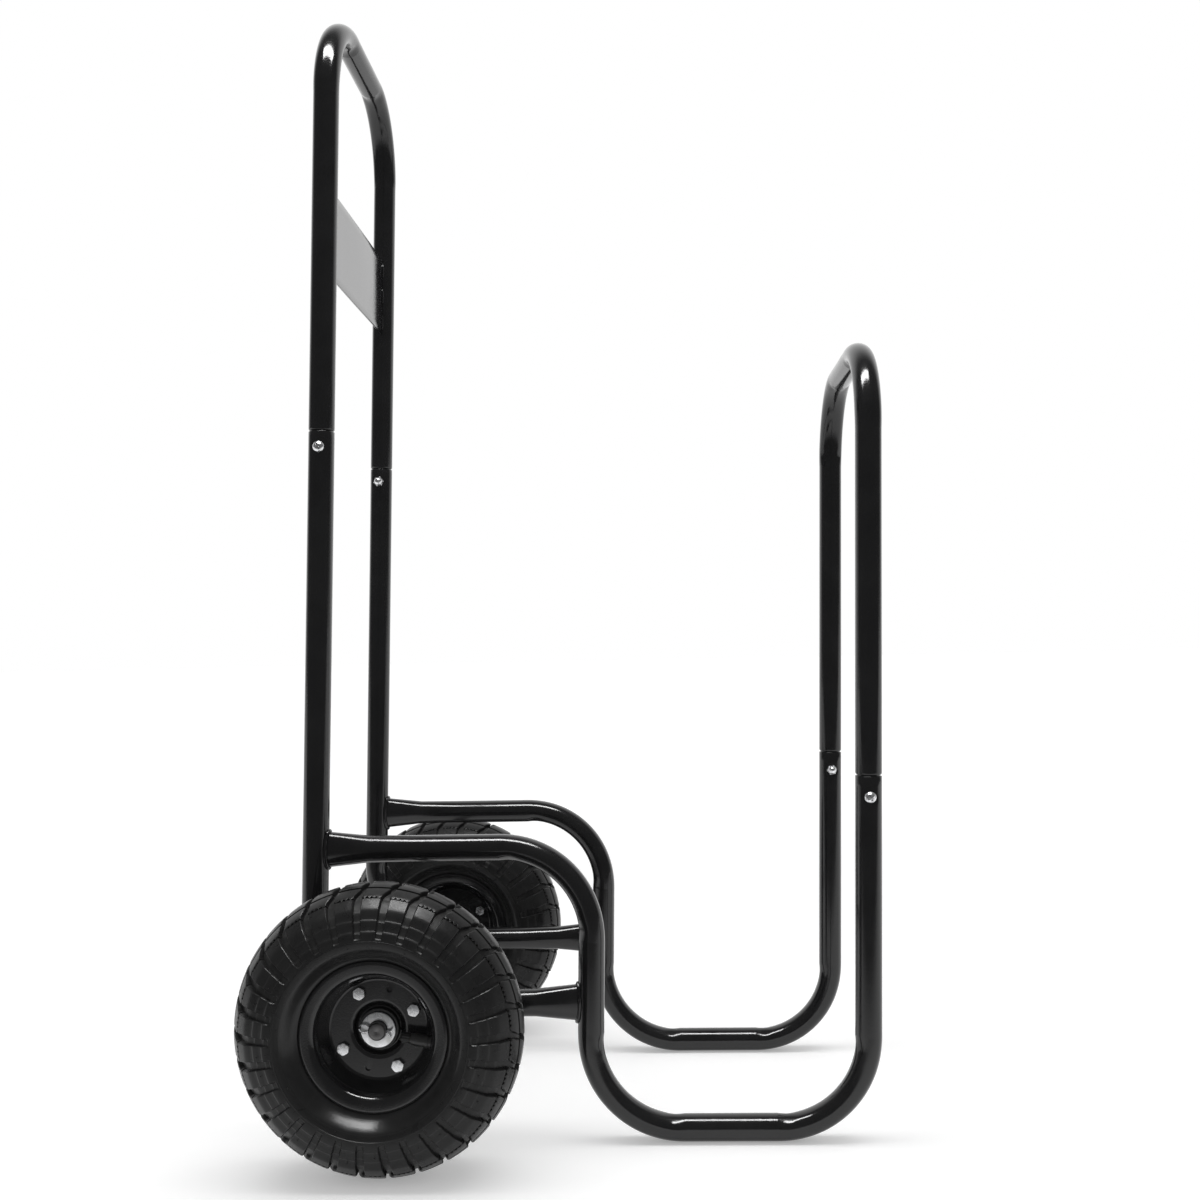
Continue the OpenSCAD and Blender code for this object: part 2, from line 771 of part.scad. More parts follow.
// Half of the tyre's inner shape, from the crown to the bead
function cavity_points() = concat(
    [[crown_r - tyre_wall, 0]],
    set_out(crown_r - tyre_wall, half_w, tyre_step,
            [[-2.5, -30.5], [-8, -22], [-14.5, -15], [-22, -9.5], [-28, -6.5]]),
    set_out(rim_r, half_w - tyre_wall, tyre_step, [[20, -0.6], [8, -6]]),
    set_out(rim_r, bead_at - tyre_wall, tyre_step, [[-2, 0]]),
    set_out(bead_r, bead_at - tyre_wall, tyre_step, [[0.6, -2], [-0.8, 1]]),
    set_out(bead_r, bead_at, tyre_step, [[0.8, -2.4]])
);

module carcass() {
    outer = wall_points(crown_r);
    cavity = cavity_points();
    rotate_extrude() polygon(concat(
        outer, mirrored(outer),
        [for (i = [len(cavity) - 1:-1:0]) [cavity[i][0], -cavity[i][1]]],
        [for (i = [1:len(cavity) - 1]) cavity[i]]
    ));
}

// Ring of rubber from which the blocks are cut
module block_ring() {
    outer = block_points();
    inner = concat(
        set_out(crown_r, 0, tyre_step, [[-3, 0]]),
        set_out(crown_r, half_w, tyre_step, [[-8.5, -21], [-22, -8]]),
        set_out(crown_r - shoulder_drop, half_w, tyre_step, [[0, -3]])
    );
    rotate_extrude() polygon(concat(
        outer, mirrored(outer),
        [for (i = [3:-1:1]) [inner[i][0], -inner[i][1]]], inner
    ));
}

// Slots between the blocks: one middle row and a row on each shoulder
module tread_cuts() {
    pitch = 360 / tread_pitches;
    for (side = [-1, 1])
        translate([0, 0, side * (block_row + groove_w / 2)]) rotate_extrude()
            translate([crown_r - tread_depth, -groove_w / 2])
                square([3 * tread_depth, groove_w]);
    for (i = [0:tread_pitches - 1]) {
        rotate([0, 0, (i + 0.5) * pitch])
            translate([crown_r - tread_depth, -centre_slot_w / 2, -block_row - groove_w / 2])
                cube([3 * tread_depth, centre_slot_w, 2 * block_row + groove_w]);
        for (side = [0, 1])
            mirror([0, 0, side]) rotate([0, 0, (i + 0.5) * pitch])
                translate([crown_r - shoulder_drop - rim_t, -shoulder_slot_w / 2,
                           block_row + groove_w / 2])
                    cube([shoulder_drop + 2 * tread_depth, shoulder_slot_w, half_w]);
    }
}

module tyre() {
    color(rubber) union() {
        carcass();
        difference() {
            block_ring();
            tread_cuts();
        }
    }
}

tube_h = crown_r - tyre_wall - bead_r - 9 * tyre_step;
tube_ring_r = bead_r + 5 * tyre_step + tube_h / 2;
tube_half_w = half_w - tyre_wall - 4.5 * tyre_step;

// A closed ring of oval section that fills the tyre, drawn in by an inset
module oval_ring(inset) {
    rotate_extrude() translate([tube_ring_r, 0])
        scale([tube_h / 2 - inset, tube_half_w - inset]) circle(r = 1);
}

module inner_tube() {
    color(rubber) difference() {
        oval_ring(inner_tube_gap);
        oval_ring(inner_tube_gap + inner_tube_wall);
    }
}

// ---------- wheels: valves ----------

// Places something, made along +Z, on the valve's line, pointing to the axle
module on_valve(from_r) {
    seen_from_outside(valve_angle) translate([from_r, 0, valve_offset])
        rotate([0, -90, 0]) children();
}

stem_foot_r = tube_ring_r - tube_h / 4;
stem_tip_l = stem_d * 0.27;
cap_wall = (cap_d - valve_d) / 2;
stem_reach = valve_reach + cap_l + cap_gap;
valve_foot_r = well_r + 6 * rim_step;

// Rubber stem whose foot is shaped to the inner tube
module valve_stem() {
    length = stem_foot_r - stem_reach - stem_tip_l;
    color(rubber) difference() {
        on_valve(stem_foot_r) difference() {
            union() {
                cylinder(d = stem_d, h = length);
                translate([0, 0, length])
                    cylinder(d1 = stem_d, d2 = stem_d * 0.85, h = stem_tip_l);
            }
            translate([0, 0, -1])
                cylinder(d = valve_d + 2 * weld_gap, h = length + stem_tip_l + 2);
        }
        oval_ring(inner_tube_gap - weld_gap);
    }
}

// Brass tube inside the stem, with a blind air hole from its open end
module valve_tube() {
    length = valve_foot_r - valve_reach - 2 * cap_wall;
    color([0.72, 0.6, 0.3]) on_valve(valve_foot_r) difference() {
        cylinder(d = valve_d, h = length);
        translate([0, 0, -1]) cylinder(d = valve_d * 0.4, h = length + 1 - 2 * cap_wall);
    }
}

// Cap over the brass tube's end, closed towards the axle
module valve_cap() {
    color(rubber) on_valve(valve_reach + cap_l) difference() {
        union() {
            cylinder(d = cap_d, h = cap_l - cap_wall);
            translate([0, 0, cap_l - cap_wall])
                cylinder(d1 = cap_d, d2 = cap_d - 2 * cap_wall, h = cap_wall);
        }
        translate([0, 0, -1]) cylinder(d = valve_d + 2 * weld_gap, h = cap_l - cap_wall + 1);
    }
}

// ---------- the wheels' nodes ----------

module tyre_left() { on_left_wheel() tyre(); }
module tyre_right() { other_side() tyre_left(); }
module inner_tube_left() { on_left_wheel() inner_tube(); }
module inner_tube_right() { other_side() inner_tube_left(); }
module rim_outer_left() { on_left_wheel() rim_outer(); }
module rim_outer_right() { other_side() rim_outer_left(); }
module rim_inner_left() { on_left_wheel() rim_inner(); }
module rim_inner_right() { other_side() rim_inner_left(); }
module rim_bolts_left() { on_left_wheel() rim_bolts(); }
module rim_bolts_right() { other_side() rim_bolts_left(); }
module rim_nuts_left() { on_left_wheel() rim_nuts(); }
module rim_nuts_right() { other_side() rim_nuts_left(); }
module hub_left() { on_left_wheel() hub(); }
module hub_right() { other_side() hub_left(); }
module bearing_rings_left() { on_left_wheel() bearing_rings(); }
module bearing_rings_right() { other_side() bearing_rings_left(); }
module bearing_balls_left() { on_left_wheel() bearing_balls(); }
module bearing_balls_right() { other_side() bearing_balls_left(); }
module valve_stem_left() { on_left_wheel() valve_stem(); }
module valve_stem_right() { other_side() valve_stem_left(); }
module valve_tube_left() { on_left_wheel() valve_tube(); }
module valve_tube_right() { other_side() valve_tube_left(); }
module valve_cap_left() { on_left_wheel() valve_cap(); }
module valve_cap_right() { other_side() valve_cap_left(); }

handle_hoop();
handle_plate();
front_hoop();
rear_upright_left();
rear_upright_right();
cradle_tube_left();
cradle_tube_right();
rear_joint_screws();
rear_joint_nuts();
front_joint_screws();
front_joint_nuts();
axle();
spacer_sleeves();
inner_washers();
outer_washers();
split_pins();
tyre_left();
tyre_right();
inner_tube_left();
inner_tube_right();
rim_outer_left();
rim_outer_right();
rim_inner_left();
rim_inner_right();
rim_bolts_left();
rim_bolts_right();
rim_nuts_left();
rim_nuts_right();
hub_left();
hub_right();
bearing_rings_left();
bearing_rings_right();
bearing_balls_left();
bearing_balls_right();
valve_stem_left();
valve_stem_right();
valve_tube_left();
valve_tube_right();
valve_cap_left();
valve_cap_right();
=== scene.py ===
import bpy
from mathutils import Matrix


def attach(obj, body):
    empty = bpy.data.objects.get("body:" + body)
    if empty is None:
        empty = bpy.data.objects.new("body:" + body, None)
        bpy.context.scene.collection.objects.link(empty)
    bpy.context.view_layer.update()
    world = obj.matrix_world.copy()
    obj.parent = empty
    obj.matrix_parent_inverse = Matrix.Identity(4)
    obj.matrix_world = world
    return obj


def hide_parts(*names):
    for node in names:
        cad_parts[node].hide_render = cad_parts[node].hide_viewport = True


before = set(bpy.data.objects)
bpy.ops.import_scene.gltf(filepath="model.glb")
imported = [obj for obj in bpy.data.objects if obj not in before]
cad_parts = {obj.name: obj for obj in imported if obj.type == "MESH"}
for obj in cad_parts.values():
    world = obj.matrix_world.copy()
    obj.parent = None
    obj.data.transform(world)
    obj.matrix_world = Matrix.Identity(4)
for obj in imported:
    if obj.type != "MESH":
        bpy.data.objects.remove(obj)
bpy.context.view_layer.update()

import random
import bpy
from math import acos, copysign, cos, exp, hypot, pi, radians, sin, sqrt, tan
from mathutils import Matrix, Vector

# ---------- the view
# A camera at knee height, level with the log bay and turned a little to the
# left, sees the cart from its right side and shows the far side beside it.
mm = 0.001
camera_place = Vector((83.18, -1380.45, 467.16)) * mm
yaw, pitch, roll = -0.04385, 0.03531, -0.01989
look = Vector((sin(yaw) * cos(pitch), cos(yaw) * cos(pitch), sin(pitch)))
level_side = Vector((cos(yaw), -sin(yaw), 0.0))
level_top = level_side.cross(look)
side = level_side * cos(roll) + level_top * sin(roll)
top = level_top * cos(roll) - level_side * sin(roll)
lens = bpy.data.cameras.new("view_from_the_right")
lens.lens = 39.0
lens.sensor_width = 36.0
lens.clip_start = 0.01
lens.clip_end = 200.0
camera = bpy.data.objects.new("view_from_the_right", lens)
bpy.context.scene.collection.objects.link(camera)
camera.matrix_world = Matrix((
    (side.x, top.x, -look.x, camera_place.x),
    (side.y, top.y, -look.y, camera_place.y),
    (side.z, top.z, -look.z, camera_place.z),
    (0.0, 0.0, 0.0, 1.0),
))
bpy.context.scene.camera = camera
bpy.context.scene.view_settings.view_transform = "Standard"

# ---------- studio floor and light
# A matt white floor sheet fades out in front, with a white sweep behind it and a
# dim room in front. One long soft light hangs over the cart, and a skylight that
# only glossy skins show draws the thin white line along the tubes.
def node_tree(owner):
    owner.use_nodes = True
    tree = owner.node_tree
    tree.nodes.clear()
    return tree


def add_node(tree, kind, inputs=None, **settings):
    """A node right of all that feed it. An input gets a value, an output or a node's first output."""
    node = tree.nodes.new(f"ShaderNode{kind}")
    column = 0
    for key, value in settings.items():
        setattr(node, key, value)
    for label, given in (inputs or {}).items():
        if isinstance(given, bpy.types.Node):
            given = given.outputs[0]
        if isinstance(given, bpy.types.NodeSocket):
            tree.links.new(given, node.inputs[label])
            column = max(column, given.node.location.x + 220)
        else:
            node.inputs[label].default_value = given
    above = sum(other.location.x == column for other in tree.nodes if other != node)
    node.location = (column, -280 * above)
    return node


reach, front_edge, kept_from, rows = 40.0, -0.95, -0.25, 8
floor_paper = bpy.data.materials.new("floor_paper")
tree = node_tree(floor_paper)
grain = add_node(tree, "TexNoise", {"Scale": 3.0})
shade = add_node(tree, "MapRange", {"Value": grain, "To Min": 0.78, "To Max": 0.82})
tint = add_node(tree, "CombineColor", {channel: shade for channel in ("Red", "Green", "Blue")})
paper = add_node(tree, "BsdfPrincipled", {
    "Base Color": tint, "Roughness": 0.9, "Specular IOR Level": 0.1})
rays = add_node(tree, "LightPath")
seen = add_node(tree, "Math", {
    0: rays.outputs["Is Camera Ray"], 1: rays.outputs["Is Glossy Ray"]}, operation="MAXIMUM")
seen_too = add_node(tree, "Math", {
    0: seen, 1: rays.outputs["Is Transmission Ray"]}, operation="MAXIMUM")
spot = add_node(tree, "NewGeometry")
away = add_node(tree, "VectorMath", {0: spot.outputs["Position"]}, operation="LENGTH")
fade = add_node(tree, "MapRange", {
    "Value": away.outputs["Value"], "From Min": 0.9, "From Max": 3.2, "To Min": 0.3, "To Max": 0.6},
    interpolation_type="SMOOTHSTEP")
lift = add_node(tree, "Math", {0: seen_too, 1: fade}, operation="MULTIPLY")
glow = add_node(tree, "Emission", {"Strength": lift})
both = add_node(tree, "AddShader", {0: paper, 1: glow})
across = add_node(tree, "SeparateXYZ", {0: spot.outputs["Position"]})
kept = add_node(tree, "MapRange", {
    "Value": across.outputs["Y"], "From Min": front_edge, "From Max": kept_from},
    interpolation_type="SMOOTHSTEP")
clear = add_node(tree, "BsdfTransparent")
edge = add_node(tree, "MixShader", {0: kept, 1: clear, 2: both})
add_node(tree, "OutputMaterial", {"Surface": edge})


def mesh_object(name, points, faces):
    mesh = bpy.data.meshes.new(name)
    mesh.from_pydata(points, [], faces)
    made = bpy.data.objects.new(name, mesh)
    bpy.context.scene.collection.objects.link(made)
    return made


floor_points = [(reach * (2 * i / rows - 1), front_edge + reach * j / rows, 0.0)
                for j in range(rows + 1) for i in range(rows + 1)]
floor_corners = [j * (rows + 1) + i for j in range(rows) for i in range(rows)]
floor_faces = [(k, k + 1, k + rows + 2, k + rows + 1) for k in floor_corners]
floor_sheet = mesh_object("floor_sheet", floor_points, floor_faces)
floor_sheet.data.materials.append(floor_paper)

room = bpy.data.worlds.new("studio_room")
bpy.context.scene.world = room
tree = node_tree(room)
direction = add_node(tree, "TexCoord")
parts = add_node(tree, "SeparateXYZ", {0: direction.outputs["Generated"]})
sweep = add_node(tree, "MapRange", {
    "Value": parts.outputs["Y"], "From Min": 0.12, "From Max": 0.66, "To Min": 0.11, "To Max": 1.15},
    interpolation_type="SMOOTHSTEP")
rays = add_node(tree, "LightPath")
mirrored = add_node(tree, "Math", {
    0: rays.outputs["Is Glossy Ray"], 1: rays.outputs["Is Transmission Ray"]}, operation="MAXIMUM")
level = add_node(tree, "Mix", {0: mirrored, 2: 0.56, 3: sweep}, data_type="FLOAT")
white = add_node(tree, "Mix", {0: rays.outputs["Is Camera Ray"], 2: level, 3: 1.0}, data_type="FLOAT")
air = add_node(tree, "Background", {"Color": (1.0, 1.0, 1.0, 1.0), "Strength": white})
add_node(tree, "OutputWorld", {"Surface": air})


def soft_light(name, place, aim, width, height, power):
    lamp = bpy.data.lights.new(name, "AREA")
    lamp.shape = "RECTANGLE"
    lamp.size, lamp.size_y, lamp.energy = width, height, power
    holder = bpy.data.objects.new(name, lamp)
    bpy.context.scene.collection.objects.link(holder)
    holder.location = place
    holder.rotation_euler = (Vector(aim) - Vector(place)).to_track_quat("-Z", "Y").to_euler()
    return holder


overhead_light = soft_light("overhead_light", (0.0, -0.15, 2.7), (0.0, 0.0, 0.0), 3.0, 0.9, 42)
overhead_light.visible_glossy = False
skylight = soft_light("skylight", (-0.03, -0.58, 2.2), (-0.03, -0.58, 0.0), 1.36, 0.4, 43)
skylight.visible_diffuse = False

# ---------- gloss black powder coat
# Tubes, plate and pressed rims are sprayed with black polyester powder and
# baked. The skin is glossy, very slightly pebbled, and takes a little dust.
def new_group(name, inputs, *outputs):
    """A shader node group of plain numbers, with the nodes for its inputs and outputs."""
    group = bpy.data.node_groups.new(name, "ShaderNodeTree")
    for label, value in inputs.items():
        socket = group.interface.new_socket(name=label, in_out="INPUT", socket_type="NodeSocketFloat")
        socket.default_value = value
    for label in outputs:
        group.interface.new_socket(name=label, in_out="OUTPUT", socket_type="NodeSocketFloat")
    here, there = group.nodes.new("NodeGroupInput"), group.nodes.new("NodeGroupOutput")
    there.location = (1100, 0)
    return group, here, there


# Fine pebbling of a sprayed or moulded skin, as a height
pebble_group, here, there = new_group(
    "skin_pebbling", {"Grain per metre": 600.0, "Waves per metre": 60.0, "Waviness": 0.3}, "Height")
where = add_node(pebble_group, "TexCoord")
fine = add_node(pebble_group, "TexNoise", {
    "Vector": where.outputs["Object"], "Scale": here.outputs["Grain per metre"], "Detail": 1.5})
slow = add_node(pebble_group, "TexNoise", {
    "Vector": where.outputs["Object"], "Scale": here.outputs["Waves per metre"], "Detail": 0.0})
mix = add_node(pebble_group, "Mix", {0: here.outputs["Waviness"], 2: fine, 3: slow}, data_type="FLOAT")
pebble_group.links.new(mix.outputs[0], there.inputs["Height"])

# Dust that has settled on faces that look upwards, in faint patches
dust_group, here, there = new_group("settled_dust", {"Amount": 0.2, "Patches per metre": 18.0}, "Mask")
where = add_node(dust_group, "TexCoord")
patch = add_node(dust_group, "TexNoise", {
    "Vector": where.outputs["Object"], "Scale": here.outputs["Patches per metre"], "Detail": 6.0,
    "Roughness": 0.65})
clump = add_node(dust_group, "MapRange", {"Value": patch, "From Min": 0.35, "From Max": 0.75})
facing = add_node(dust_group, "NewGeometry")
upward = add_node(dust_group, "SeparateXYZ", {0: facing.outputs["Normal"]})
lying = add_node(dust_group, "MapRange", {
    "Value": upward.outputs["Z"], "From Min": 0.1, "From Max": 1.0, "To Min": 0.15})
held = add_node(dust_group, "Math", {0: clump, 1: lying}, operation="MULTIPLY")
total = add_node(dust_group, "Math", {
    0: held, 1: here.outputs["Amount"]}, operation="MULTIPLY", use_clamp=True)
dust_group.links.new(total.outputs[0], there.inputs["Mask"])

# Smears and fine rubs that make a finish duller in places, as a roughness
rub_group, here, there = new_group(
    "handling_rubs", {"Marks per metre": 25.0, "Least": 0.18, "Most": 0.3}, "Roughness", "Mask")
where = add_node(rub_group, "TexCoord")
smear = add_node(rub_group, "TexNoise", {
    "Vector": where.outputs["Object"], "Scale": here.outputs["Marks per metre"], "Detail": 8.0,
    "Roughness": 0.6, "Distortion": 0.6})
spread = add_node(rub_group, "MapRange", {"Value": smear, "From Min": 0.38, "From Max": 0.72})
dull = add_node(rub_group, "Mix", {
    0: spread, 2: here.outputs["Least"], 3: here.outputs["Most"]},
    data_type="FLOAT")
rub_group.links.new(spread.outputs["Result"], there.inputs["Mask"])
rub_group.links.new(dull.outputs[0], there.inputs["Roughness"])


def finish_material(name, colour, worn_colour, rubs, pebbles, dust=None, metallic=0.0, settings=None):
    """A material with rubs in its roughness and colour, pebbling and, if asked for, dust."""
    material = bpy.data.materials.new(name)
    tree = node_tree(material)
    marks = add_node(tree, "Group", dict(zip(
        ("Marks per metre", "Least", "Most"), rubs)), node_tree=rub_group)
    tone = add_node(tree, "Mix", {
        0: marks.outputs["Mask"], 6: (*colour, 1.0), 7: (*worn_colour, 1.0)}, data_type="RGBA")
    if dust:
        film = add_node(tree, "Group", {
            "Amount": dust[0], "Patches per metre": dust[1]}, node_tree=dust_group)
        tone = add_node(tree, "Mix", {
            0: film, 6: tone.outputs[2], 7: (0.32, 0.31, 0.29, 1.0)},
            data_type="RGBA")
    skin_height = add_node(tree, "Group", dict(zip(
        ("Grain per metre", "Waves per metre", "Waviness"), pebbles)), node_tree=pebble_group)
    relief = add_node(tree, "Bump", {
        "Strength": pebbles[3], "Distance": pebbles[4], "Height": skin_height})
    skin = add_node(tree, "BsdfPrincipled", {
        "Base Color": tone.outputs[2], "Metallic": metallic, "Roughness": marks.outputs["Roughness"],
        "Normal": relief, **(settings or {})})
    add_node(tree, "OutputMaterial", {"Surface": skin})
    return material


tube_coat = finish_material(
    "gloss_black_tube", (0.009, 0.009, 0.0095), (0.0125, 0.0125, 0.013), (22.0, 0.11, 0.2),
    (520.0, 70.0, 0.35, 0.1, 0.0006), dust=(0.02, 16.0))
plate_coat = finish_material(
    "gloss_black_plate", (0.012, 0.012, 0.013), (0.018, 0.018, 0.019), (16.0, 0.06, 0.13),
    (480.0, 40.0, 0.4, 0.2, 0.0006), dust=(0.03, 12.0), settings={"IOR": 2.5})
rim_coat = finish_material(
    "gloss_black_rim", (0.011, 0.011, 0.0115), (0.015, 0.015, 0.0155), (30.0, 0.1, 0.18),
    (700.0, 90.0, 0.4, 0.12, 0.0005), dust=(0.02, 25.0))

# ---------- frame lines
# The frame is bent from 25 mm tube with 1.5 mm walls. Its uprights lean 1.5
# degrees forwards, and its two sides stand 274 mm apart, centre to centre.
tube_r, bend_r = 12.5, 85.0
half_gauge = 137.0
lean = radians(1.5)
axle_x, axle_z = -172.655, 130.0
rear_seam, front_seam = 680.0, 340.0
cart_sides = (("left", 1), ("right", -1))


def leaning_line(foot):
    """Where a leaning leg's middle is at a height; its foot is measured from the axle."""
    return lambda z: axle_x + foot + z * tan(lean)


rear_line = leaning_line(-84.0)
cradle_rear_line, cradle_front_line = leaning_line(182.0), leaning_line(443.0)


def corner(angle):
    return bend_r * tan(radians(angle) / 2)


def ease(x):
    x = min(max(x, 0.0), 1.0)
    return x * x * (3 - 2 * x)


def add_piece(name, shell, material, stands_for=(), crease=45.0, body="frame"):
    """A closed shell in millimetres on a body, with a finish; the solids it stands for are hidden."""
    points, faces = shell
    piece = mesh_object(name, [Vector(p) * mm for p in points], faces)
    mesh = piece.data
    mesh.validate()
    mesh.polygons.foreach_set("use_smooth", [True] * len(mesh.polygons))
    mesh.set_sharp_from_angle(angle=radians(crease))
    mesh.materials.append(material)
    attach(piece, body)
    if stands_for:
        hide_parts(*stands_for)
    return piece


def ring_shell(rings, closed_run=False):
    """Faces of a shell through rings of points, with flat ends unless it closes on itself."""
    count = len(rings[0])
    points = [p for ring in rings for p in ring]
    faces = []
    steps = len(rings) if closed_run else len(rings) - 1
    for i in range(steps):
        a, b = i * count, ((i + 1) % len(rings)) * count
        for j in range(count):
            k = (j + 1) % count
            faces.append((a + j, a + k, b + k, b + j))
    if not closed_run:
        faces.append(tuple(range(count - 1, -1, -1)))
        last = (len(rings) - 1) * count
        faces.append(tuple(last + j for j in range(count)))
    return points, faces


def turns(count):
    """The angles of one full round in equal steps."""
    return [2 * pi * k / count for k in range(count)]


def circle(middle, across, third, radius, count):
    """Points round a middle, in the plane of two directions."""
    return [middle + across * radius * cos(turn) + third * radius * sin(turn)
            for turn in turns(count)]


bend_step, least_step = 1.5, 0.05
near_bends = (1, 2, 3, 4, 5, 6.5, 8, 11, 15, 20, 27, 36)


def bent_line(steps, dense=()):
    """Stations (length run, u, v, heading) of a tube's middle, and where its bends start and end."""
    length, u, v, heading = 0.0, 0.0, 0.0, 0.0
    stations, tangents = [], []
    for straight, turn in steps:
        places = {0.0, straight}
        if straight > 80:
            places |= {straight * k / 4 for k in range(1, 4)}
        near = [d for d in near_bends if d < straight / 2]
        places |= {d for d in near if stations}
        places |= {straight - d for d in near if turn}
        for low, high, gap in dense:
            at = low
            while at <= high:
                if 0 < at - length < straight:
                    places.add(at - length)
                at += gap
        for place in sorted(places):
            stations.append((length + place, u + place * cos(heading),
                             v + place * sin(heading), heading))
        length += straight
        u += straight * cos(heading)
        v += straight * sin(heading)
        if turn:
            way = 1 if turn > 0 else -1
            tangents.append((length, way))
            cu, cv = u - way * bend_r * sin(heading), v + way * bend_r * cos(heading)
            pieces = round(abs(turn) / bend_step)
            for k in range(1, pieces + 1):
                part = radians(turn) * k / pieces
                h = heading + part
                stations.append((length + abs(part) * bend_r, cu + way * bend_r * sin(h),
                                 cv - way * bend_r * cos(h), h))
            heading += radians(turn)
            length += abs(radians(turn)) * bend_r
            u, v = stations[-1][1], stations[-1][2]
            tangents.append((length, way))
    spaced = []
    for station in stations:
        if not spaced or station[0] - spaced[-1][0] >= least_step:
            spaced.append(station)
    return spaced, tangents, length


# A bend is squeezed a little over its first 24 mm, and the bending die leaves a
# pressed mark near each end, on both flanks of the tube's inner side.
squeeze_lead, squeeze_run, squeeze_inner, squeeze_outer, squeeze_wide = 2.0, 24.0, 1.0, 0.3, 0.35
mark_place, mark_reach = 9.0, 8.0
mark_depth, mark_turn, mark_width = 0.085, 0.7, 0.42


def bend_share(at, tangents):
    """A place's share of the bend's squeeze and of the die's mark, and which way it bends."""
    for (start, way), (end, _) in zip(tangents[0::2], tangents[1::2]):
        inside = min(at - start, end - at)
        if inside > -squeeze_lead:
            share = min((inside + squeeze_lead) / squeeze_run, 1.0)
            mark = exp(-((inside - mark_place) / mark_reach) ** 2)
            return share * (2.0 - share), mark, way
    return 0.0, 0.0, 1


# Some ends are pressed flat to a tall oval. Where a screw goes through, it
# pulls a shallow dimple into each face.
tube_sides, flat_high, flat_wide, flat_square, flat_end_run = 48, 17.0, 7.0, 0.7, 6
dimple_r, dimple_depth = 9, 0.45


def tube_rings(origin, ahead, swing, steps, flat_start=0.0, flat_end=0.0, dense=(), dimples=(),
               start=(), end=()):
    """Rings of a bent tube, with more at its ends, as (radius, how far inside the end)."""
    stations, tangents, length = bent_line(steps, dense)
    third = ahead.cross(swing)
    rings = []
    for at, u, v, heading in stations:
        centre = origin + ahead * u + swing * v
        out = swing * cos(heading) - ahead * sin(heading)
        share, mark, way = bend_share(at, tangents)
        flat = 0.0
        if flat_start:
            flat = max(flat, ease((flat_start - at) / (flat_start - flat_end_run)))
        if flat_end:
            flat = max(flat, ease((at - length + flat_end) / (flat_end - flat_end_run)))
        high = tube_r + (flat_high - tube_r) * flat
        wide = tube_r + (flat_wide - tube_r) * flat + squeeze_wide * share
        power = 2.0 / (2.0 + flat_square * flat)
        ring = []
        for turn in turns(tube_sides):
            c, s = cos(turn), sin(turn)
            inner = c * way
            from_mark = (acos(max(-1.0, min(1.0, inner))) - mark_turn) / mark_width
            pressed = 1 - mark_depth * mark * exp(-from_mark ** 2)
            tall = high - share * (squeeze_inner if inner > 0 else squeeze_outer) * inner * inner
            x = copysign(abs(c) ** power, c) * tall * pressed
            y = copysign(abs(s) ** power, s) * wide * pressed
            for place, face in dimples:
                away = hypot(at - place, tube_r * c)
                if s * face > 0 and away < dimple_r:
                    y -= face * dimple_depth * (1 - ease((away - dimple_r / 2) / (dimple_r / 2)))
            ring.append(centre + out * x + third * y)
        rings.append(ring)

    def end_rings(station, ways):
        at, u, v, heading = station
        along = ahead * cos(heading) + swing * sin(heading)
        out = swing * cos(heading) - ahead * sin(heading)
        centre = origin + ahead * u + swing * v
        return [circle(centre + along * inside, out, third, radius, tube_sides)
                for radius, inside in ways]

    return (end_rings(stations[0], start) + rings
            + end_rings(stations[-1], [(radius, -inside) for radius, inside in reversed(end)]))


# ---------- handle hoop
# One tube, bent twice over at the top to make the handle bar. Its two legs
# are drawn in at the bottom and stand inside the rear uprights.
handle_z, shoulder_run = 1101.5, 3.0
drawn_spigot = [(10.0, -47.9), (10.8, -46.5), (10.8, -2.1), (11.5, -1.95), (12.0, -1.6), (12.3, -1.0)]
along_lean = Vector((sin(lean), 0.0, cos(lean)))
to_the_left = Vector((0.0, 1.0, 0.0))


def hoop(line, seam, top_z):
    """The shell of a hoop, from its left leg's spigot over the top to the right one's."""
    straight = (top_z - seam) / cos(lean) - bend_r - shoulder_run
    foot = Vector((line(seam), half_gauge, seam)) + along_lean * shoulder_run
    steps = [(straight, -90.0), (2 * half_gauge - 2 * bend_r, -90.0), (straight, 0.0)]
    return ring_shell(tube_rings(foot, along_lean, to_the_left, steps, start=drawn_spigot,
                                 end=drawn_spigot))


add_piece("handle_hoop_tube", hoop(rear_line, rear_seam, handle_z), tube_coat, ("handle_hoop",))

# ---------- front hoop
# The same kind of hoop, shorter, stands in the front legs of the cradle and
# keeps the logs from rolling off.
front_hoop_z = 756.5
add_piece("front_hoop_tube", hoop(cradle_front_line, front_seam, front_hoop_z), tube_coat,
          ("front_hoop",))

# ---------- rear uprights and braces
# Each upright is bent forwards at the bottom into a brace, whose end is
# pressed flat and welded to the cradle. The axle is welded through the brace.
rear_screw, brace_z, rail_z = 664.5, axle_z, 277.0
down_turn, up_turn = 91.5, 88.5
flat_run, end_short = 58.0, 10.0
mouth_lip = 0.45
open_mouth = [(10.95, 50.0), (10.95, 0.0), (11.1, -0.33), (11.4, -mouth_lip), (11.95, -mouth_lip),
              (12.35, -0.3)]
forwards, upwards = Vector((1.0, 0.0, 0.0)), Vector((0.0, 0.0, 1.0))


def press_against(ring, line, towards):
    """Moves a flattened end's last ring 0.25 mm into an upright's round side."""
    for k, p in enumerate(ring):
        depth = sqrt(max(0.0, (tube_r - 0.25) ** 2 - (abs(p[1]) - half_gauge) ** 2))
        ring[k] = Vector((line(p[2]) + towards * depth, p[1], p[2]))


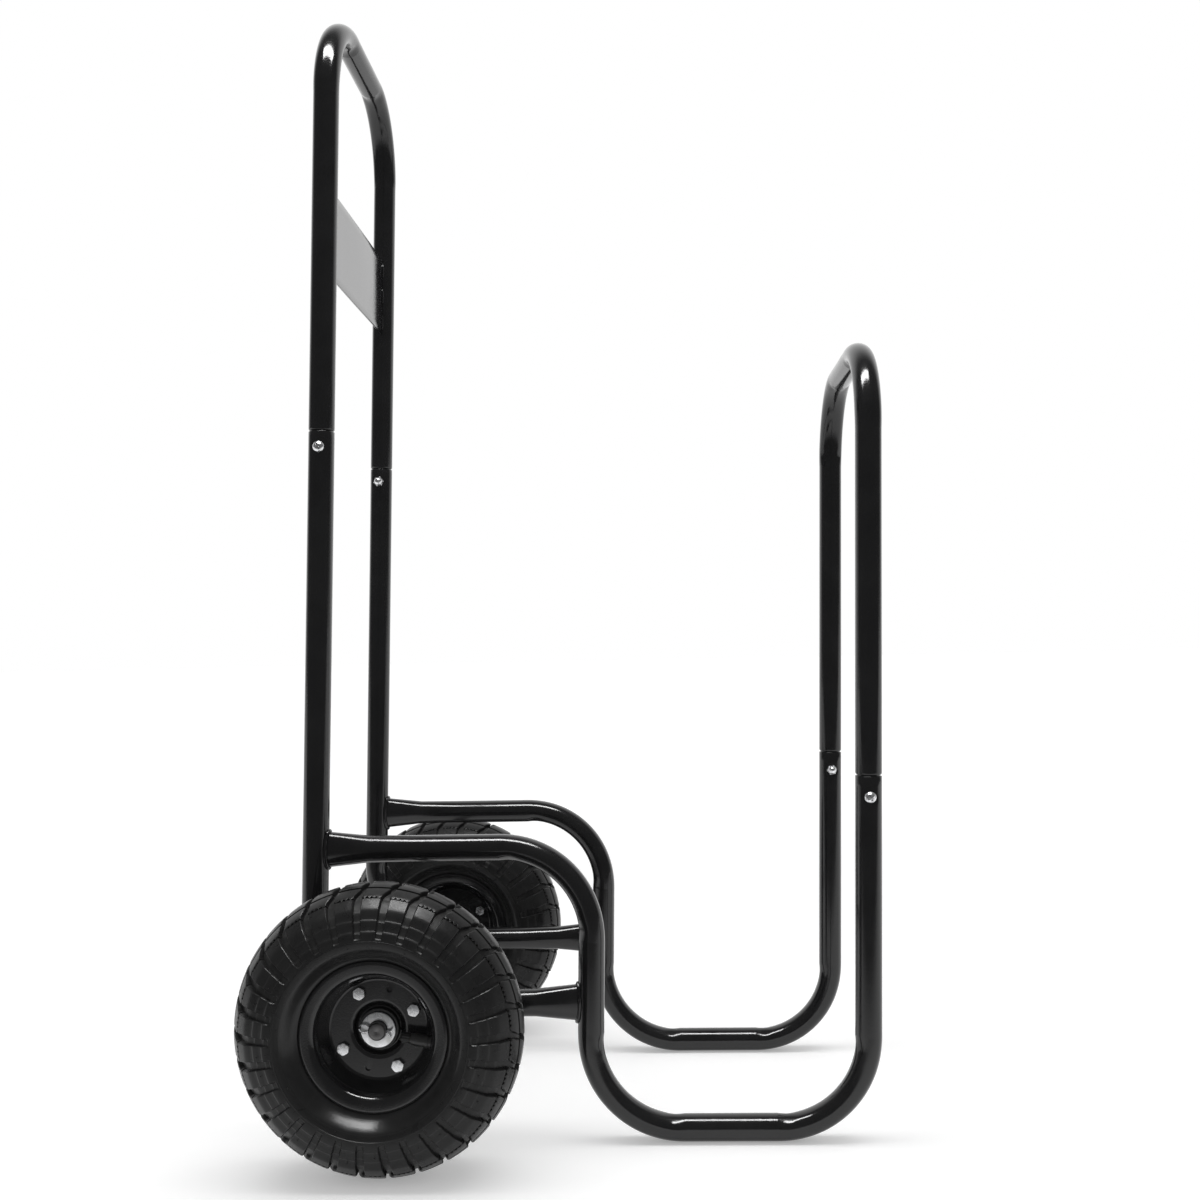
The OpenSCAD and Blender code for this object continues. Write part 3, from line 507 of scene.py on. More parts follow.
def on_both_sides(name, shell, node):
    """A tube of the frame on the left, and its mirror image on the right."""
    points, faces = shell
    mirrored_shell = ([Vector((p[0], -p[1], p[2])) for p in points],
                      [tuple(reversed(f)) for f in faces])
    for label, side_shell in (("left", shell), ("right", mirrored_shell)):
        add_piece(f"{name}_{label}", side_shell, tube_coat, (f"{node}_{label}",))


def turned_path(origin, steps, heading, screw_at, **ends):
    """Rings of a side tube with a heading in the side's plane, and a screw's dimples."""
    ahead = forwards * cos(heading) + upwards * sin(heading)
    swing = upwards * cos(heading) - forwards * sin(heading)
    return tube_rings(origin, ahead, swing, steps, dense=((screw_at - 11, screw_at + 11, 1.5),),
                      dimples=((screw_at, 1), (screw_at, -1)), **ends)


upright_run = (rear_seam - brace_z) / cos(lean) - corner(down_turn) - mouth_lip
brace_run = cradle_rear_line(brace_z) - rear_line(brace_z) - corner(down_turn)
mouth_z = rear_seam - mouth_lip
rings = turned_path(
    Vector((rear_line(mouth_z), half_gauge, mouth_z)),
    [(upright_run, down_turn), (brace_run - end_short, 0.0)], -pi / 2 - lean,
    (rear_seam - rear_screw) / cos(lean), flat_end=flat_run - end_short, start=open_mouth)
press_against(rings[-1], cradle_rear_line, -1)
on_both_sides("rear_upright_tube", ring_shell(rings), "rear_upright")

# ---------- cradle tubes
# Each side of the cradle is one tube: pressed flat on the rear upright, along
# as a rail, down, forwards under the logs and up into the front leg.
front_screw, leg_gap = 320.5, 261.0
rail_run = cradle_rear_line(rail_z) - rear_line(rail_z) - corner(down_turn)
leg_run = (rail_z - tube_r) / cos(lean) - 2 * corner(down_turn)
base_run = leg_gap - corner(down_turn) - corner(up_turn)
front_run = (front_seam - tube_r) / cos(lean) - corner(up_turn) - mouth_lip
steps = [(rail_run - end_short, -down_turn), (leg_run, down_turn), (base_run, up_turn),
         (front_run, 0.0)]
whole = sum(s for s, _ in steps) + bend_r * radians(2 * down_turn + up_turn)
rings = turned_path(
    Vector((rear_line(rail_z) + end_short, half_gauge, rail_z)), steps, 0.0,
    whole - (front_seam - front_screw) / cos(lean), flat_start=flat_run - end_short,
    end=open_mouth)
press_against(rings[0], rear_line, 1)
on_both_sides("cradle_tube_bent", ring_shell(rings), "cradle_tube")

# ---------- welds of the sides
# A bead runs all round each flattened end where it meets the upright tube,
# and round the axle on both faces of the brace. The coat covers the beads.
ripple, bead_sides = 3.3, 12
bead_high, bead_wide, bead_power, axle_bead_r = 17.6, 7.5, 0.74, 8.8


def weld_bead(name, path, radius, seed, body="frame", closed=True):
    """A painted weld: a lumpy cord of metal along a path of points in millimetres."""
    chance = random.Random(seed)
    count = len(path)
    lengths = [0.0]
    for k in range(1, count):
        lengths.append(lengths[-1] + (path[k] - path[k - 1]).length)
    blobs = [chance.uniform(0.86, 1.12) for _ in range(int(lengths[-1] / ripple) + 3)]
    rings = []
    for k in range(count):
        before = path[(k - 1) % count] if closed else path[max(k - 1, 0)]
        after = path[(k + 1) % count] if closed else path[min(k + 1, count - 1)]
        along = (after - before).normalized()
        across = across - along * across.dot(along) if rings else along.orthogonal()
        across.normalize()
        place = lengths[k] / ripple
        size = radius * (0.84 + 0.2 * abs(sin(pi * place))) * blobs[int(place)]
        if not closed:
            size *= 0.35 + 0.65 * ease(min(k, count - 1 - k) / 3)
        rings.append(circle(path[k], across, along.cross(across), size, bead_sides))
    add_piece(name, ring_shell(rings, closed), tube_coat, crease=60.0, body=body)


for label, face in cart_sides:
    for name, line, towards, z in (("rail", rear_line, 1, rail_z),
                                   ("brace", cradle_rear_line, -1, brace_z)):
        path = []
        for turn in turns(72):
            c, s = cos(turn), sin(turn)
            up = copysign(abs(c) ** bead_power, c) * bead_high
            out = copysign(abs(s) ** bead_power, s) * bead_wide
            depth = sqrt((tube_r + 0.5) ** 2 - out * out)
            path.append(Vector((line(z + up) + towards * depth, face * half_gauge + out, z + up)))
        weld_bead(f"{name}_weld_{label}", path, 2.0, seed=71 + int(z) + face)
    for where, outwards in (("outer", 1), ("inner", -1)):
        path = []
        for turn in turns(48):
            up = axle_bead_r * sin(turn)
            out = sqrt((tube_r + 0.3) ** 2 - up * up)
            path.append(Vector((axle_x + axle_bead_r * cos(turn),
                                face * (half_gauge + outwards * out), axle_z + up)))
        weld_bead(f"axle_weld_{where}_{label}", path, 1.7, seed=7 + face + outwards)

# ---------- handle plate
# A strip of 2 mm sheet across the handle, cut to sit between the two legs
# and welded to them with short beads, its sheared edges slightly rounded.
plate_half_h, plate_z, bow_depth = 43.5, 883.0, 0.25
plate_steps, bead_steps = 32, 14
edge_y = half_gauge - sqrt(tube_r ** 2 - 1.0) - 0.1
lean_normal = Vector((cos(lean), 0.0, -sin(lean)))


def on_plate(y, up, thick):
    """A place on the plate: across the cart, up the plate and out of its face."""
    middle = Vector((rear_line(plate_z), y, plate_z))
    return middle + along_lean * up + lean_normal * thick


outline = [(-plate_half_h, -0.62), (-plate_half_h + 0.12, -0.88), (-plate_half_h + 0.4, -1.0)]
outline += [(-plate_half_h + 2 * plate_half_h * k / 12, -1.0) for k in range(1, 12)]
outline += [(plate_half_h - 0.4, -1.0), (plate_half_h - 0.12, -0.88), (plate_half_h, -0.62)]
outline += [(up, -thick) for up, thick in reversed(outline)]
plate_rings = []
for k in range(plate_steps + 1):
    y = edge_y * (2 * k / plate_steps - 1)
    level_bow = bow_depth * (1 - (y / edge_y) ** 2)
    plate_rings.append([on_plate(y, up, thick + level_bow * sin(2.1 * y / edge_y + up * 0.03))
                        for up, thick in outline])
add_piece("handle_plate_sheet", ring_shell(plate_rings), plate_coat, ("handle_plate",), 50.0)
for side_name, face in cart_sides:
    for thick, label in ((1, "front"), (-1, "rear")):
        for k, (low, high) in enumerate(((-39.0, -22.0), (-8.0, 9.0), (23.0, 39.0))):
            path = [on_plate(face * (edge_y - 0.5), low + (high - low) * j / bead_steps, thick * 1.5)
                    for j in range(bead_steps + 1)]
            weld_bead(f"plate_weld_{label}_{side_name}_{k + 1}", path, 1.5, closed=False,
                      seed=31 * k + 5 * thick + face)

# ---------- screws and nuts of the legs
# Four zinc-plated M6 screws with domed, cross-recessed heads hold the hoops.
# Each goes through hoop and leg from outside into a cap nut on the inside.
zinc_bright = finish_material(
    "zinc_fasteners", (0.86, 0.87, 0.89), (0.72, 0.72, 0.72), (140.0, 0.2, 0.36),
    (1800.0, 260.0, 0.3, 0.12, 0.0003), metallic=1.0)
zinc_dull = finish_material(
    "zinc_hardware", (0.82, 0.83, 0.85), (0.62, 0.62, 0.61), (90.0, 0.24, 0.42),
    (1200.0, 200.0, 0.3, 0.18, 0.0003), metallic=1.0)


def round_z(radius, turn, height):
    """The point at a radius, a turn about +Z and a height."""
    return Vector((radius * cos(turn), radius * sin(turn), height))


def turned(profile, steps, shape=None, hollow=False):
    """A shell turned about +Z from (radius, height) points, with flat ends or a closed outline."""
    return ring_shell([[round_z(shape(radius, turn) if shape else radius, turn, height)
                        for turn in turns(steps)] for radius, height in profile], hollow)


def six_sided(radius, turn):
    """Radius of a 10 mm hexagon, held within the given radius by its chamfer."""
    part = (turn + pi / 6) % (pi / 3) - pi / 6
    return min(radius, 5.0 / cos(part))


def set_at(shell, middle, axis, spin=0.0):
    """A shell made about +Z, moved to a place and turned with +Z along an axis."""
    turn = upwards.rotation_difference(axis) @ Matrix.Rotation(spin, 3, "Z").to_quaternion()
    return [middle + turn @ p for p in shell[0]], shell[1]


def joined(shells):
    """Several closed shells as one piece."""
    points, faces = [], []
    for more_points, more_faces in shells:
        start = len(points)
        points += list(more_points)
        faces += [tuple(start + k for k in face) for face in more_faces]
    return points, faces


head_r, head_h, shank_sides, diagonal = 5.5, 3.6, 96, 0.7071
arm_half, arm_length, cross_depth = 0.95, 3.3, 1.7


def domed_screw():
    """Head and shank along +Z, with the underside of the head at 0 and a pressed cross."""
    ball = (head_r ** 2 + head_h ** 2) / (2 * head_h)
    shank = [(2.95, -29.4), (3.0, -29.0), (3.0, 0.0), (5.2, 0.0), (5.45, 0.15)]
    dome = [head_r * (1 - k / 27.6) for k in range(28)]
    shank += [(radius, head_h - ball + sqrt(ball ** 2 - radius ** 2) + 0.02) for radius in dome]
    points, faces = turned(shank, shank_sides)
    for p in points[-shank_sides * len(dome):]:
        a, b = (p.x + p.y) * diagonal, (p.y - p.x) * diagonal
        arm = max(min(arm_half - abs(a), arm_length - abs(b)),
                  min(arm_half - abs(b), arm_length - abs(a)))
        p.z -= cross_depth * ease((arm + 0.1) / 0.45)
    return points, faces


def cap_nut():
    """Hexagon and dome along +Z, with a flat face at 0."""
    profile = [(3.1, 0.8), (3.1, 0.0), (5.1, 0.0), (5.77, 0.35), (5.77, 4.55), (5.1, 4.95), (4.5, 5.0)]
    profile += [(4.5 * cos(radians(a)), 5.0 + 4.5 * sin(radians(a)))
                for a in range(6, 90, 6)]
    return turned(profile, 72, six_sided)


for hoop_name, line, z in (("rear", rear_line, rear_screw), ("front", cradle_front_line, front_screw)):
    heads, nuts = [], []
    for face in (1, -1):
        outwards = Vector((0.0, face, 0.0))
        spot = Vector((line(z), face * (half_gauge + tube_r - 0.4), z))
        heads.append(set_at(domed_screw(), spot, outwards, 0.2 + 0.5 * face))
        spot = Vector((line(z), face * (half_gauge - tube_r + 0.3), z))
        nuts.append(set_at(cap_nut(), spot, -outwards, 0.4 + 0.3 * face))
    add_piece(f"{hoop_name}_screws", joined(heads), zinc_bright, (f"{hoop_name}_joint_screws",), 30.0)
    add_piece(f"{hoop_name}_cap_nuts", joined(nuts), zinc_bright, (f"{hoop_name}_joint_nuts",), 25.0)

# ---------- axle, sleeves and washers
# A plain 16 mm steel bar, blackened and oiled, with turned ends. Sleeves keep
# the wheels off the frame, and washers run against both ends of each hub.
axle_skin = finish_material(
    "axle_steel", (0.1, 0.1, 0.105), (0.19, 0.185, 0.18), (60.0, 0.28, 0.45),
    (900.0, 150.0, 0.3, 0.25, 0.0004), metallic=1.0)
wheel_y = 217.0
axle_line = Vector((axle_x, 0.0, axle_z))
end_at = wheel_y + 12.0
axle_end = [(0.6, -end_at + 0.3), (1.6, -end_at + 0.05), (6.6, -end_at), (6.9, -end_at + 0.08),
            (7.95, -end_at + 1.15), (8.0, -end_at + 1.4)]
axle_profile = axle_end + [(8.0, -200.0 + 400.0 * k / 8) for k in range(9)]
axle_profile += [(r, -z) for r, z in reversed(axle_end)]
add_piece("axle_bar", set_at(turned(axle_profile, 72), axle_line, to_the_left), axle_skin,
          ("axle",), 25.0)


def washer_outline(outer, low, high, inner=8.3, edge=0.35):
    return [(inner, low + 0.1), (inner + 0.1, low), (outer - edge, low),
            (outer - edge * 0.3, low + edge * 0.25), (outer, low + edge), (outer, high - edge * 1.2),
            (outer - edge * 0.35, high - edge * 0.3), (outer - edge * 1.4, high),
            (inner + 0.35, high), (inner, high - 0.3)]


for node, name, outer, low, high in (
        ("spacer_sleeves", "spacer_sleeve_pair", 11.0, -67.4, -50.6),
        ("inner_washers", "inner_washer_pair", 15.5, -50.5, -48.0),
        ("outer_washers", "outer_washer_pair", 15.5, 3.0, 5.5)):
    washer = turned(washer_outline(outer, low, high), 72, hollow=True)
    pair = [set_at(washer, axle_line + Vector((0.0, face * wheel_y, 0.0)), Vector((0.0, face, 0.0)))
            for face in (1, -1)]
    add_piece(name, joined(pair), zinc_dull, (node,), 28.0)

# ---------- split pins
# Half-round zinc wire folded into an eye, pushed through the axle's end and
# opened on the far side, so that the wheel can't come off.
pin_at, pin_turn, leg_off = 7.6, radians(170.0), 0.72
wire_r, wire_sides, wire_flat = 1.25, 12, 0.12
eye_r, eye_turn = 4.6, radians(75.0)
splay_run, splay_off, splay_turn = 4.1, 2.6, radians(172.0)


def half_round_wire(path, flat):
    """A wire along points, with its flat side in a direction."""
    rings = []
    for k, p in enumerate(path):
        along = (path[min(k + 1, len(path) - 1)] - path[max(k - 1, 0)]).normalized()
        across = (flat - along * flat.dot(along)).normalized()
        third = along.cross(across)
        ring = []
        for turn in turns(wire_sides):
            x = wire_r * cos(turn) * (wire_flat if cos(turn) > 0 else 1.0)
            ring.append(p + across * x + third * wire_r * sin(turn))
        rings.append(ring)
    return ring_shell(rings)


pin_dir = Vector((cos(pin_turn), 0.0, sin(pin_turn)))
cross_dir = Vector((-sin(pin_turn), 0.0, cos(pin_turn)))
pin_shells = []
for face in (1, -1):
    middle = axle_line + Vector((0.0, face, 0.0)) * (wheel_y + pin_at)
    for leg in (1, -1):
        offsets = []
        for k in range(12, -1, -1):
            a = eye_turn * k / 12
            offsets.append((-(8.6 + eye_r * sin(a)), leg_off + eye_r * (1 - cos(a))))
        offsets += [(-8.0 + 2.0 * k, leg_off) for k in range(9)]
        for k in range(1, 9):
            a = splay_turn * k / 8
            offsets.append((8.0 + splay_run * (1 - cos(a)), leg_off + splay_off * sin(a)))
        path = [middle + pin_dir * along + cross_dir * leg * off for along, off in offsets]
        pin_shells.append(half_round_wire(path, -cross_dir * leg))
add_piece("split_pin_pair", joined(pin_shells), zinc_bright, ("split_pins",), 40.0)

# ---------- wheel rims
# Two pressed steel halves, each with a flange, a deep well and a flat disc,
# bolted back to back. The disc is dished in round the hub.
rim_r, well_r, disc_r, dish_r, flange, rim_sides = 65.0, 52.0, 45.5, 22.5, 28.0, 144
sheet_t, press_r, corner_steps = 2.0, 1.6, 5


def on_wheel(points, face):
    """Turns points made about +Z, outwards, over to the wheel on one side."""
    return [Vector((axle_x + p[0], face * (wheel_y + p[2]), axle_z + p[1])) for p in points]


def wheel_piece(name, shell, material, node, crease=35.0):
    """The same piece on both wheels; points are (forwards, up, outwards) from the wheel's middle."""
    points, faces = shell
    made = []
    for label, face in cart_sides:
        turned_faces = faces if face < 0 else [tuple(reversed(f)) for f in faces]
        made.append(add_piece(f"{name}_{label}", (on_wheel(points, face), turned_faces), material,
                              (f"{node}_{label}",), crease, f"wheel_{label}"))
    return made


def rounded(path):
    """A path of (radius, height) points with its corners rounded, as a press leaves them."""
    result = [Vector(path[0])]
    for a, b, c in zip(path, path[1:], path[2:]):
        a, b, c = Vector(a), Vector(b), Vector(c)
        before, after = (a - b), (c - b)
        cut = min(press_r, before.length * 0.45, after.length * 0.45)
        start, end = b + before.normalized() * cut, b + after.normalized() * cut
        for k in range(corner_steps + 1):
            t = k / corner_steps
            result.append(start * (1 - t) ** 2 + b * 2 * t * (1 - t) + end * t * t)
    result.append(Vector(path[-1]))
    return result


def sheet_outline(corners):
    """Closed outline of a pressed sheet whose middle follows a path, with rounded cut edges."""
    path, normals = rounded(corners), []
    for k in range(len(path)):
        along = (path[min(k + 1, len(path) - 1)] - path[max(k - 1, 0)]).normalized()
        normals.append(Vector((-along.y, along.x)))
    half = sheet_t / 2
    upper = [p + n * half for p, n in zip(path, normals)]
    lower = [p - n * half for p, n in zip(path, normals)]
    along = (path[-1] - path[-2]).normalized()
    tip = [path[-1] + along * half * 0.35 * c + normals[-1] * half * s
           for c, s in ((0.8, 0.6), (1.0, 0.0), (0.8, -0.6))]
    return upper + tip + lower[::-1]


wall = [(disc_r - 2, 1.0), (disc_r, 2.0), (disc_r + 1.5, 5.0), (well_r - 1, flange - 9),
        (well_r + 1.6, flange - 3.5), (well_r + 4.5, flange - 0.8), (rim_r - 1.5, flange),
        (rim_r, flange - 0.8)]
dish = [(18.05, -5.0), (dish_r - 2, -5.0), (dish_r, -3.8), (dish_r + 1.2, -0.2), (dish_r + 3.2, 1.0)]


def cut_holes(name, shell, holes):
    """Drills round holes: each is (middle, axis, radius, depth). Returns the cut shell."""
    blank = mesh_object(name, *shell)
    drills = []
    for k, (middle, axis, radius, depth) in enumerate(holes):
        rod = set_at(turned([(radius, -depth), (radius, depth)], 32), middle, axis)
        drills.append(mesh_object(f"{name}_drill_{k}", *rod))
        cut = blank.modifiers.new(f"drill_{k}", "BOOLEAN")
        cut.operation, cut.object, cut.solver = "DIFFERENCE", drills[-1], "EXACT"
    done = bpy.data.meshes.new_from_object(
        blank.evaluated_get(bpy.context.evaluated_depsgraph_get()))
    result = ([v.co.copy() for v in done.vertices], [tuple(p.vertices) for p in done.polygons])
    for waste in drills + [blank]:
        old_mesh = waste.data
        bpy.data.objects.remove(waste)
        bpy.data.meshes.remove(old_mesh)
    bpy.data.meshes.remove(done)
    return result


bolt_circle, disc_half = 36.0, 6.0
bolt_spots = [round_z(bolt_circle, radians(a), 0.0) for a in (28.0, 118.0, 208.0, 298.0)]
vent_spots = [round_z(bolt_circle, radians(a), 0.0) for a in (73.7, 253.7)]
bolt_holes = [(spot, upwards, 3.2, disc_half) for spot in bolt_spots]
outer_holes = bolt_holes + [(spot, upwards, 2.5, disc_half) for spot in vent_spots]
# The valve comes through the well, forwards of the hub and a little below it
valve_turn, valve_place = radians(-10.0), 13.0
valve_out = round_z(1.0, valve_turn, 0.0)
outer_holes.append((round_z(49.0, valve_turn, valve_place), valve_out, 5.7, 9.0))

outline = sheet_outline(dish + wall)
shell = cut_holes("rim_outer_blank", turned(outline, rim_sides, hollow=True), outer_holes)
wheel_piece("rim_outer_half", shell, rim_coat, "rim_outer", 32.0)

inner_dish = [(18.05, -7.05), (dish_r - 3.1, -7.05), (dish_r - 0.55, -5.5), (dish_r + 0.9, -2.1),
              (dish_r + 3.6, -1.05)]
outline = sheet_outline(inner_dish + [(r, -h) for r, h in wall])
shell = cut_holes("rim_inner_blank", turned(outline[::-1], rim_sides, hollow=True), bolt_holes)
wheel_piece("rim_inner_half", shell, rim_coat, "rim_inner", 32.0)

# ---------- rim bolts and nuts
# Four zinc-plated M6 bolts with plain hexagon heads clamp the two halves. The
# heads are outside, and plain nuts sit on the inner disc.
bolt_profile = [(2.9, -11.9), (3.0, -11.6), (3.0, 2.0), (4.9, 2.0), (4.9, 2.25), (5.77, 2.3),
                (5.77, 5.5), (5.35, 5.9), (4.6, 6.0), (0.4, 6.0)]
nut_profile = [(3.05, -7.0), (5.0, -7.05), (5.77, -6.6), (5.77, -2.5), (5.0, -2.06), (3.05, -2.1)]
bolts, nuts = [], []
bolt, nut = turned(bolt_profile, 72, six_sided), turned(nut_profile, 72, six_sided, hollow=True)
for k, spot in enumerate(bolt_spots):
    bolts.append(set_at(bolt, spot, upwards, 0.3 + 1.9 * k))
    nuts.append(set_at(nut, spot, upwards, 0.9 + 1.3 * k))
wheel_piece("rim_bolt_set", joined(bolts), zinc_bright, "rim_bolts", 25.0)
wheel_piece("rim_nut_set", joined(nuts), zinc_bright, "rim_nuts", 25.0)

# ---------- hub tubes
# A steel tube, welded through both discs. A ball bearing is pressed into a seat
# at each end.
hub_outline = [(13.05, -47.2), (13.3, -47.5), (17.6, -47.5), (18.0, -47.1), (18.0, 2.1),
               (17.6, 2.5), (15.4, 2.5), (15.05, 2.2), (15.05, -7.5), (13.05, -7.5)]
wheel_piece("hub_tube", turned(hub_outline, 96, hollow=True), rim_coat, "hub", 30.0)
weld_points = [round_z(19.0, turn, -3.3) for turn in turns(90)]
for label, face in cart_sides:
    weld_bead(f"hub_weld_{label}", on_wheel(weld_points, face), 1.5, 50 + face, f"wheel_{label}")

# ---------- tyres
# Moulded black rubber on each rim: a middle band, two rows of blocks with a
# notched edge, stepped shoulder lugs with open slots, and a smooth bead. The
# bead has rubber of its own. The floors of the slots have a lighter rubber of
# their own, with more dust: partly real dust, partly painted light that makes
# the floors read lighter than the lugs.
tyre_rubber = finish_material(
    "tyre_rubber", (0.0145, 0.0145, 0.0147), (0.0185, 0.0185, 0.0185), (45.0, 0.26, 0.38),
    (1300.0, 160.0, 0.35, 0.2, 0.0005), dust=(0.02, 30.0), settings={"Specular IOR Level": 0.22})
bead_rubber = finish_material(
    "tyre_bead_rubber", (0.017, 0.017, 0.0172), (0.021, 0.021, 0.021), (45.0, 0.2, 0.27),
    (1300.0, 160.0, 0.35, 0.12, 0.0004), dust=(0.02, 30.0), settings={"Specular IOR Level": 0.3})
# Slot floors: lighter and duller than the lugs, with more dust; the lighter tone is partly painted
# light.
groove_dust_and_painted_light = finish_material(
    "tyre_groove_rubber", (0.017, 0.017, 0.0172), (0.024, 0.024, 0.0235), (60.0, 0.34, 0.5),
    (1300.0, 160.0, 0.35, 0.25, 0.0006), dust=(0.06, 40.0), settings={"Specular IOR Level": 0.22})

# Stations across half the tread: (radius, outward place, tilt of the skin in
# degrees, groove depth between lugs, row of the pattern)
lug_line = [
    (130.0, 0.0, 0, 4.4, "band"), (129.9, 3.0, 3, 4.4, "band"), (129.5, 6.0, 7, 4.4, "band"),
    (128.7, 9.0, 12, 4.4, "band"), (127.8, 11.2, 17, 4.4, "band"),
    (127.6, 11.7, 18, 3.6, "seam_top"), (127.35, 12.2, 19, 3.6, "seam_floor"),
    (126.95, 13.1, 20, 3.6, "seam_floor"), (126.7, 13.6, 21, 3.6, "seam_top"),
    (126.0, 15.2, 23, 3.8, "row"), (124.3, 18.8, 28, 4.0, "row"), (122.6, 21.6, 33, 4.2, "row"),
    (121.6, 23.3, 36, 4.4, "comb_top"), (121.25, 23.9, 37, 4.5, "comb_edge"),
    (120.95, 24.25, 38, 4.4, "comb_foot"), (120.3, 25.0, 39, 4.3, "comb_foot"),
    (119.95, 25.4, 40, 4.2, "lug_top"), (118.6, 26.95, 42, 4.1, "lug"),
    (117.0, 28.7, 43, 4.0, "lug"), (115.0, 30.8, 44, 4.0, "lug"), (113.2, 32.7, 47, 4.0, "lug"),
    (111.8, 33.9, 54, 3.7, "lug"), (110.0, 34.9, 61, 3.4, "lug"), (107.0, 36.2, 67, 3.1, "lug"),
    (104.35, 37.15, 70, 2.9, "lug"), (104.0, 37.45, 58, 2.9, "lug"), (103.15, 38.35, 47, 2.9, "lug"),
    (102.7, 38.6, 60, 2.8, "lug"), (99.0, 39.7, 73, 2.6, "lug"), (95.5, 40.65, 75, 2.4, "lug"),
    (95.15, 40.95, 58, 2.4, "lug"), (94.0, 42.1, 46, 2.3, "lug"), (93.5, 42.35, 62, 2.2, "lug"),
    (90.5, 42.65, 86, 1.8, "lug"), (88.8, 42.65, 89, 1.3, "lug"), (87.8, 42.6, 91, 0.0, "wall"),
]
# The side wall, the bead and the inside, as (radius, outward place)
wall_line = [
    (86.3, 42.5), (86.0, 42.75), (85.3, 42.75), (85.0, 42.4), (82.4, 42.0), (79.8, 40.6), (77.6, 38.6),
    (75.2, 35.85), (72.6, 32.8), (70.2, 29.95), (68.4, 28.4), (67.0, 27.6), (66.3, 26.8), (66.1, 26.2),
    (65.6, 25.85), (60.0, 25.8), (57.6, 24.9), (55.6, 23.2), (54.9, 21.6),
]
bead_rows = range(5, 13)
inner_line = [(56.2, 18.6), (62.0, 20.6), (73.0, 31.0), (85.0, 36.6), (98.0, 32.8), (112.0, 20.3),
              (118.5, 8.0)]
pitches, slot_half, seam_half, notch_half = 30, 0.165, 0.09, 0.11
row_shift, band_shift = -0.16, -0.19
seam_place, comb_place, seam_depth = 13.6, 23.3, 2.6
comb = [0.0, 1.5, -1.2, 1.5, -1.2, 1.5, -1.2, 1.5, 0.0]

# Columns round one pitch: (kind, share of the lug's width, notch offset)
columns = [("floor", -1, 0.0), ("floor", 1, 0.0), ("edge", 1, 0.0), ("top", 0.035, 0.0)]
columns += [("top", 0.035 + 0.93 * (k / 8), comb[k]) for k in range(1, 8)]
columns += [("top", 0.965, 0.0), ("edge", -1, 0.0)]


def groove_run(place, row):
    """Where the groove between lugs runs: (sideways shift, half width), in pitches."""
    if row in ("lug", "lug_top", "wall", "comb_foot"):
        return 0.0, slot_half
    if row in ("comb_edge", "comb_top"):
        return 0.0, slot_half * 0.9
    if row == "row":
        t = (comb_place - place) / (comb_place - seam_place)
        return row_shift * ease(t), slot_half * (0.9 - 0.3 * ease(t))
    if row in ("seam_floor", "seam_top"):
        return row_shift, seam_half
    return row_shift + band_shift * (1 - ease(place / 11.7)), notch_half


least_depth = {"seam_floor": seam_depth, "comb_foot": 1.7, "comb_edge": 0.25}


def tyre_ring(radius, place, tilt, depth, row, mirror_side):
    """A ring of the tyre, with all the columns of all the pitches round it."""
    a = radians(tilt)
    skin_r, skin_w = cos(a), sin(a)
    shift, half = groove_run(place, row)
    ring = []
    for p in range(pitches):
        for kind, share, notch in columns:
            down, slide = 0.0, 0.0
            if kind == "top":
                along = shift + half + share * (1 - 2 * half)
            elif kind == "edge":
                along = shift + (half if share > 0 else 1 - half)
                down = min(0.45, depth)
            else:
                along = shift + share * half * 0.8
                down = depth
            if kind != "floor":
                down = max(down, least_depth.get(row, 0.0))
            if kind == "top" and row in ("comb_top", "comb_edge", "comb_foot"):
                slide = notch
            turn = 2 * pi * (p + along) / pitches
            r = radius - skin_r * down - skin_w * slide
            w = place - skin_w * down + skin_r * slide
            ring.append(round_z(r, turn, w * mirror_side))
    return ring


def plain_ring(radius, place, mirror_side):
    """A ring without pattern that keeps the lug columns."""
    return tyre_ring(radius, place, 90, 0.0, "wall", mirror_side)


tyre_rings = [plain_ring(*station, -1) for station in wall_line[::-1]]
tyre_rings += [tyre_ring(*station, -1) for station in lug_line[:0:-1]]
tyre_rings += [tyre_ring(*station, 1) for station in lug_line]
tyre_rings += [plain_ring(*station, 1) for station in wall_line + inner_line]
tyre_rings += [plain_ring(*station, -1) for station in inner_line[::-1]]
casing_shells = [ring_shell(tyre_rings, closed_run=True)]

# Rubber left by the mould's vents: stubs on the side wall, whiskers on the lugs
chance = random.Random(260)
vents = 30
for k in range(vents):
    for mirror_side in (1, -1):
        on_lug = k % 3 != 2
        if on_lug:
            r, tall, stub = chance.choice((106.0, 99.0)), chance.uniform(1.2, 2.8), 0.28
            w = 36.5 if r > 103 else 39.6
        else:
            r, w, tall, stub = 81.5, 41.5, 0.9, 0.45
        a = 2 * pi * (k + chance.uniform(0.3, 0.7)) / vents
        nub = turned([(stub * 1.2, -0.6), (stub, 0.3), (stub * 0.85, tall),
                      (stub * 0.4, tall + 0.15)], 8)
        tip = chance.uniform(0.1, 0.7) if on_lug else -0.25
        nub_axis = round_z(tip, a + 0.4, mirror_side).normalized()
        casing_shells.append(set_at(nub, round_z(r, a, w * mirror_side), nub_axis))

sides_round = pitches * len(columns)
inner_wall, outer_wall = len(wall_line), len(wall_line) + 2 * len(lug_line) - 1
for casing in wheel_piece("tyre_casing", joined(casing_shells), tyre_rubber, "tyre", 32.0):
    casing.data.materials.append(groove_dust_and_painted_light)
    casing.data.materials.append(bead_rubber)
    # The bead band gets the smooth bead rubber. The slot floors get the groove rubber, whose lighter
    # tone is partly dust and partly painted light.
    for k in range(len(tyre_rings) * sides_round):
        ring, column = divmod(k, sides_round)
        if ring - outer_wall in bead_rows or inner_wall - 2 - ring in bead_rows:
            casing.data.polygons[k].material_index = 2
        elif inner_wall <= ring < outer_wall - 1 and column % len(columns) == 0:
            casing.data.polygons[k].material_index = 1

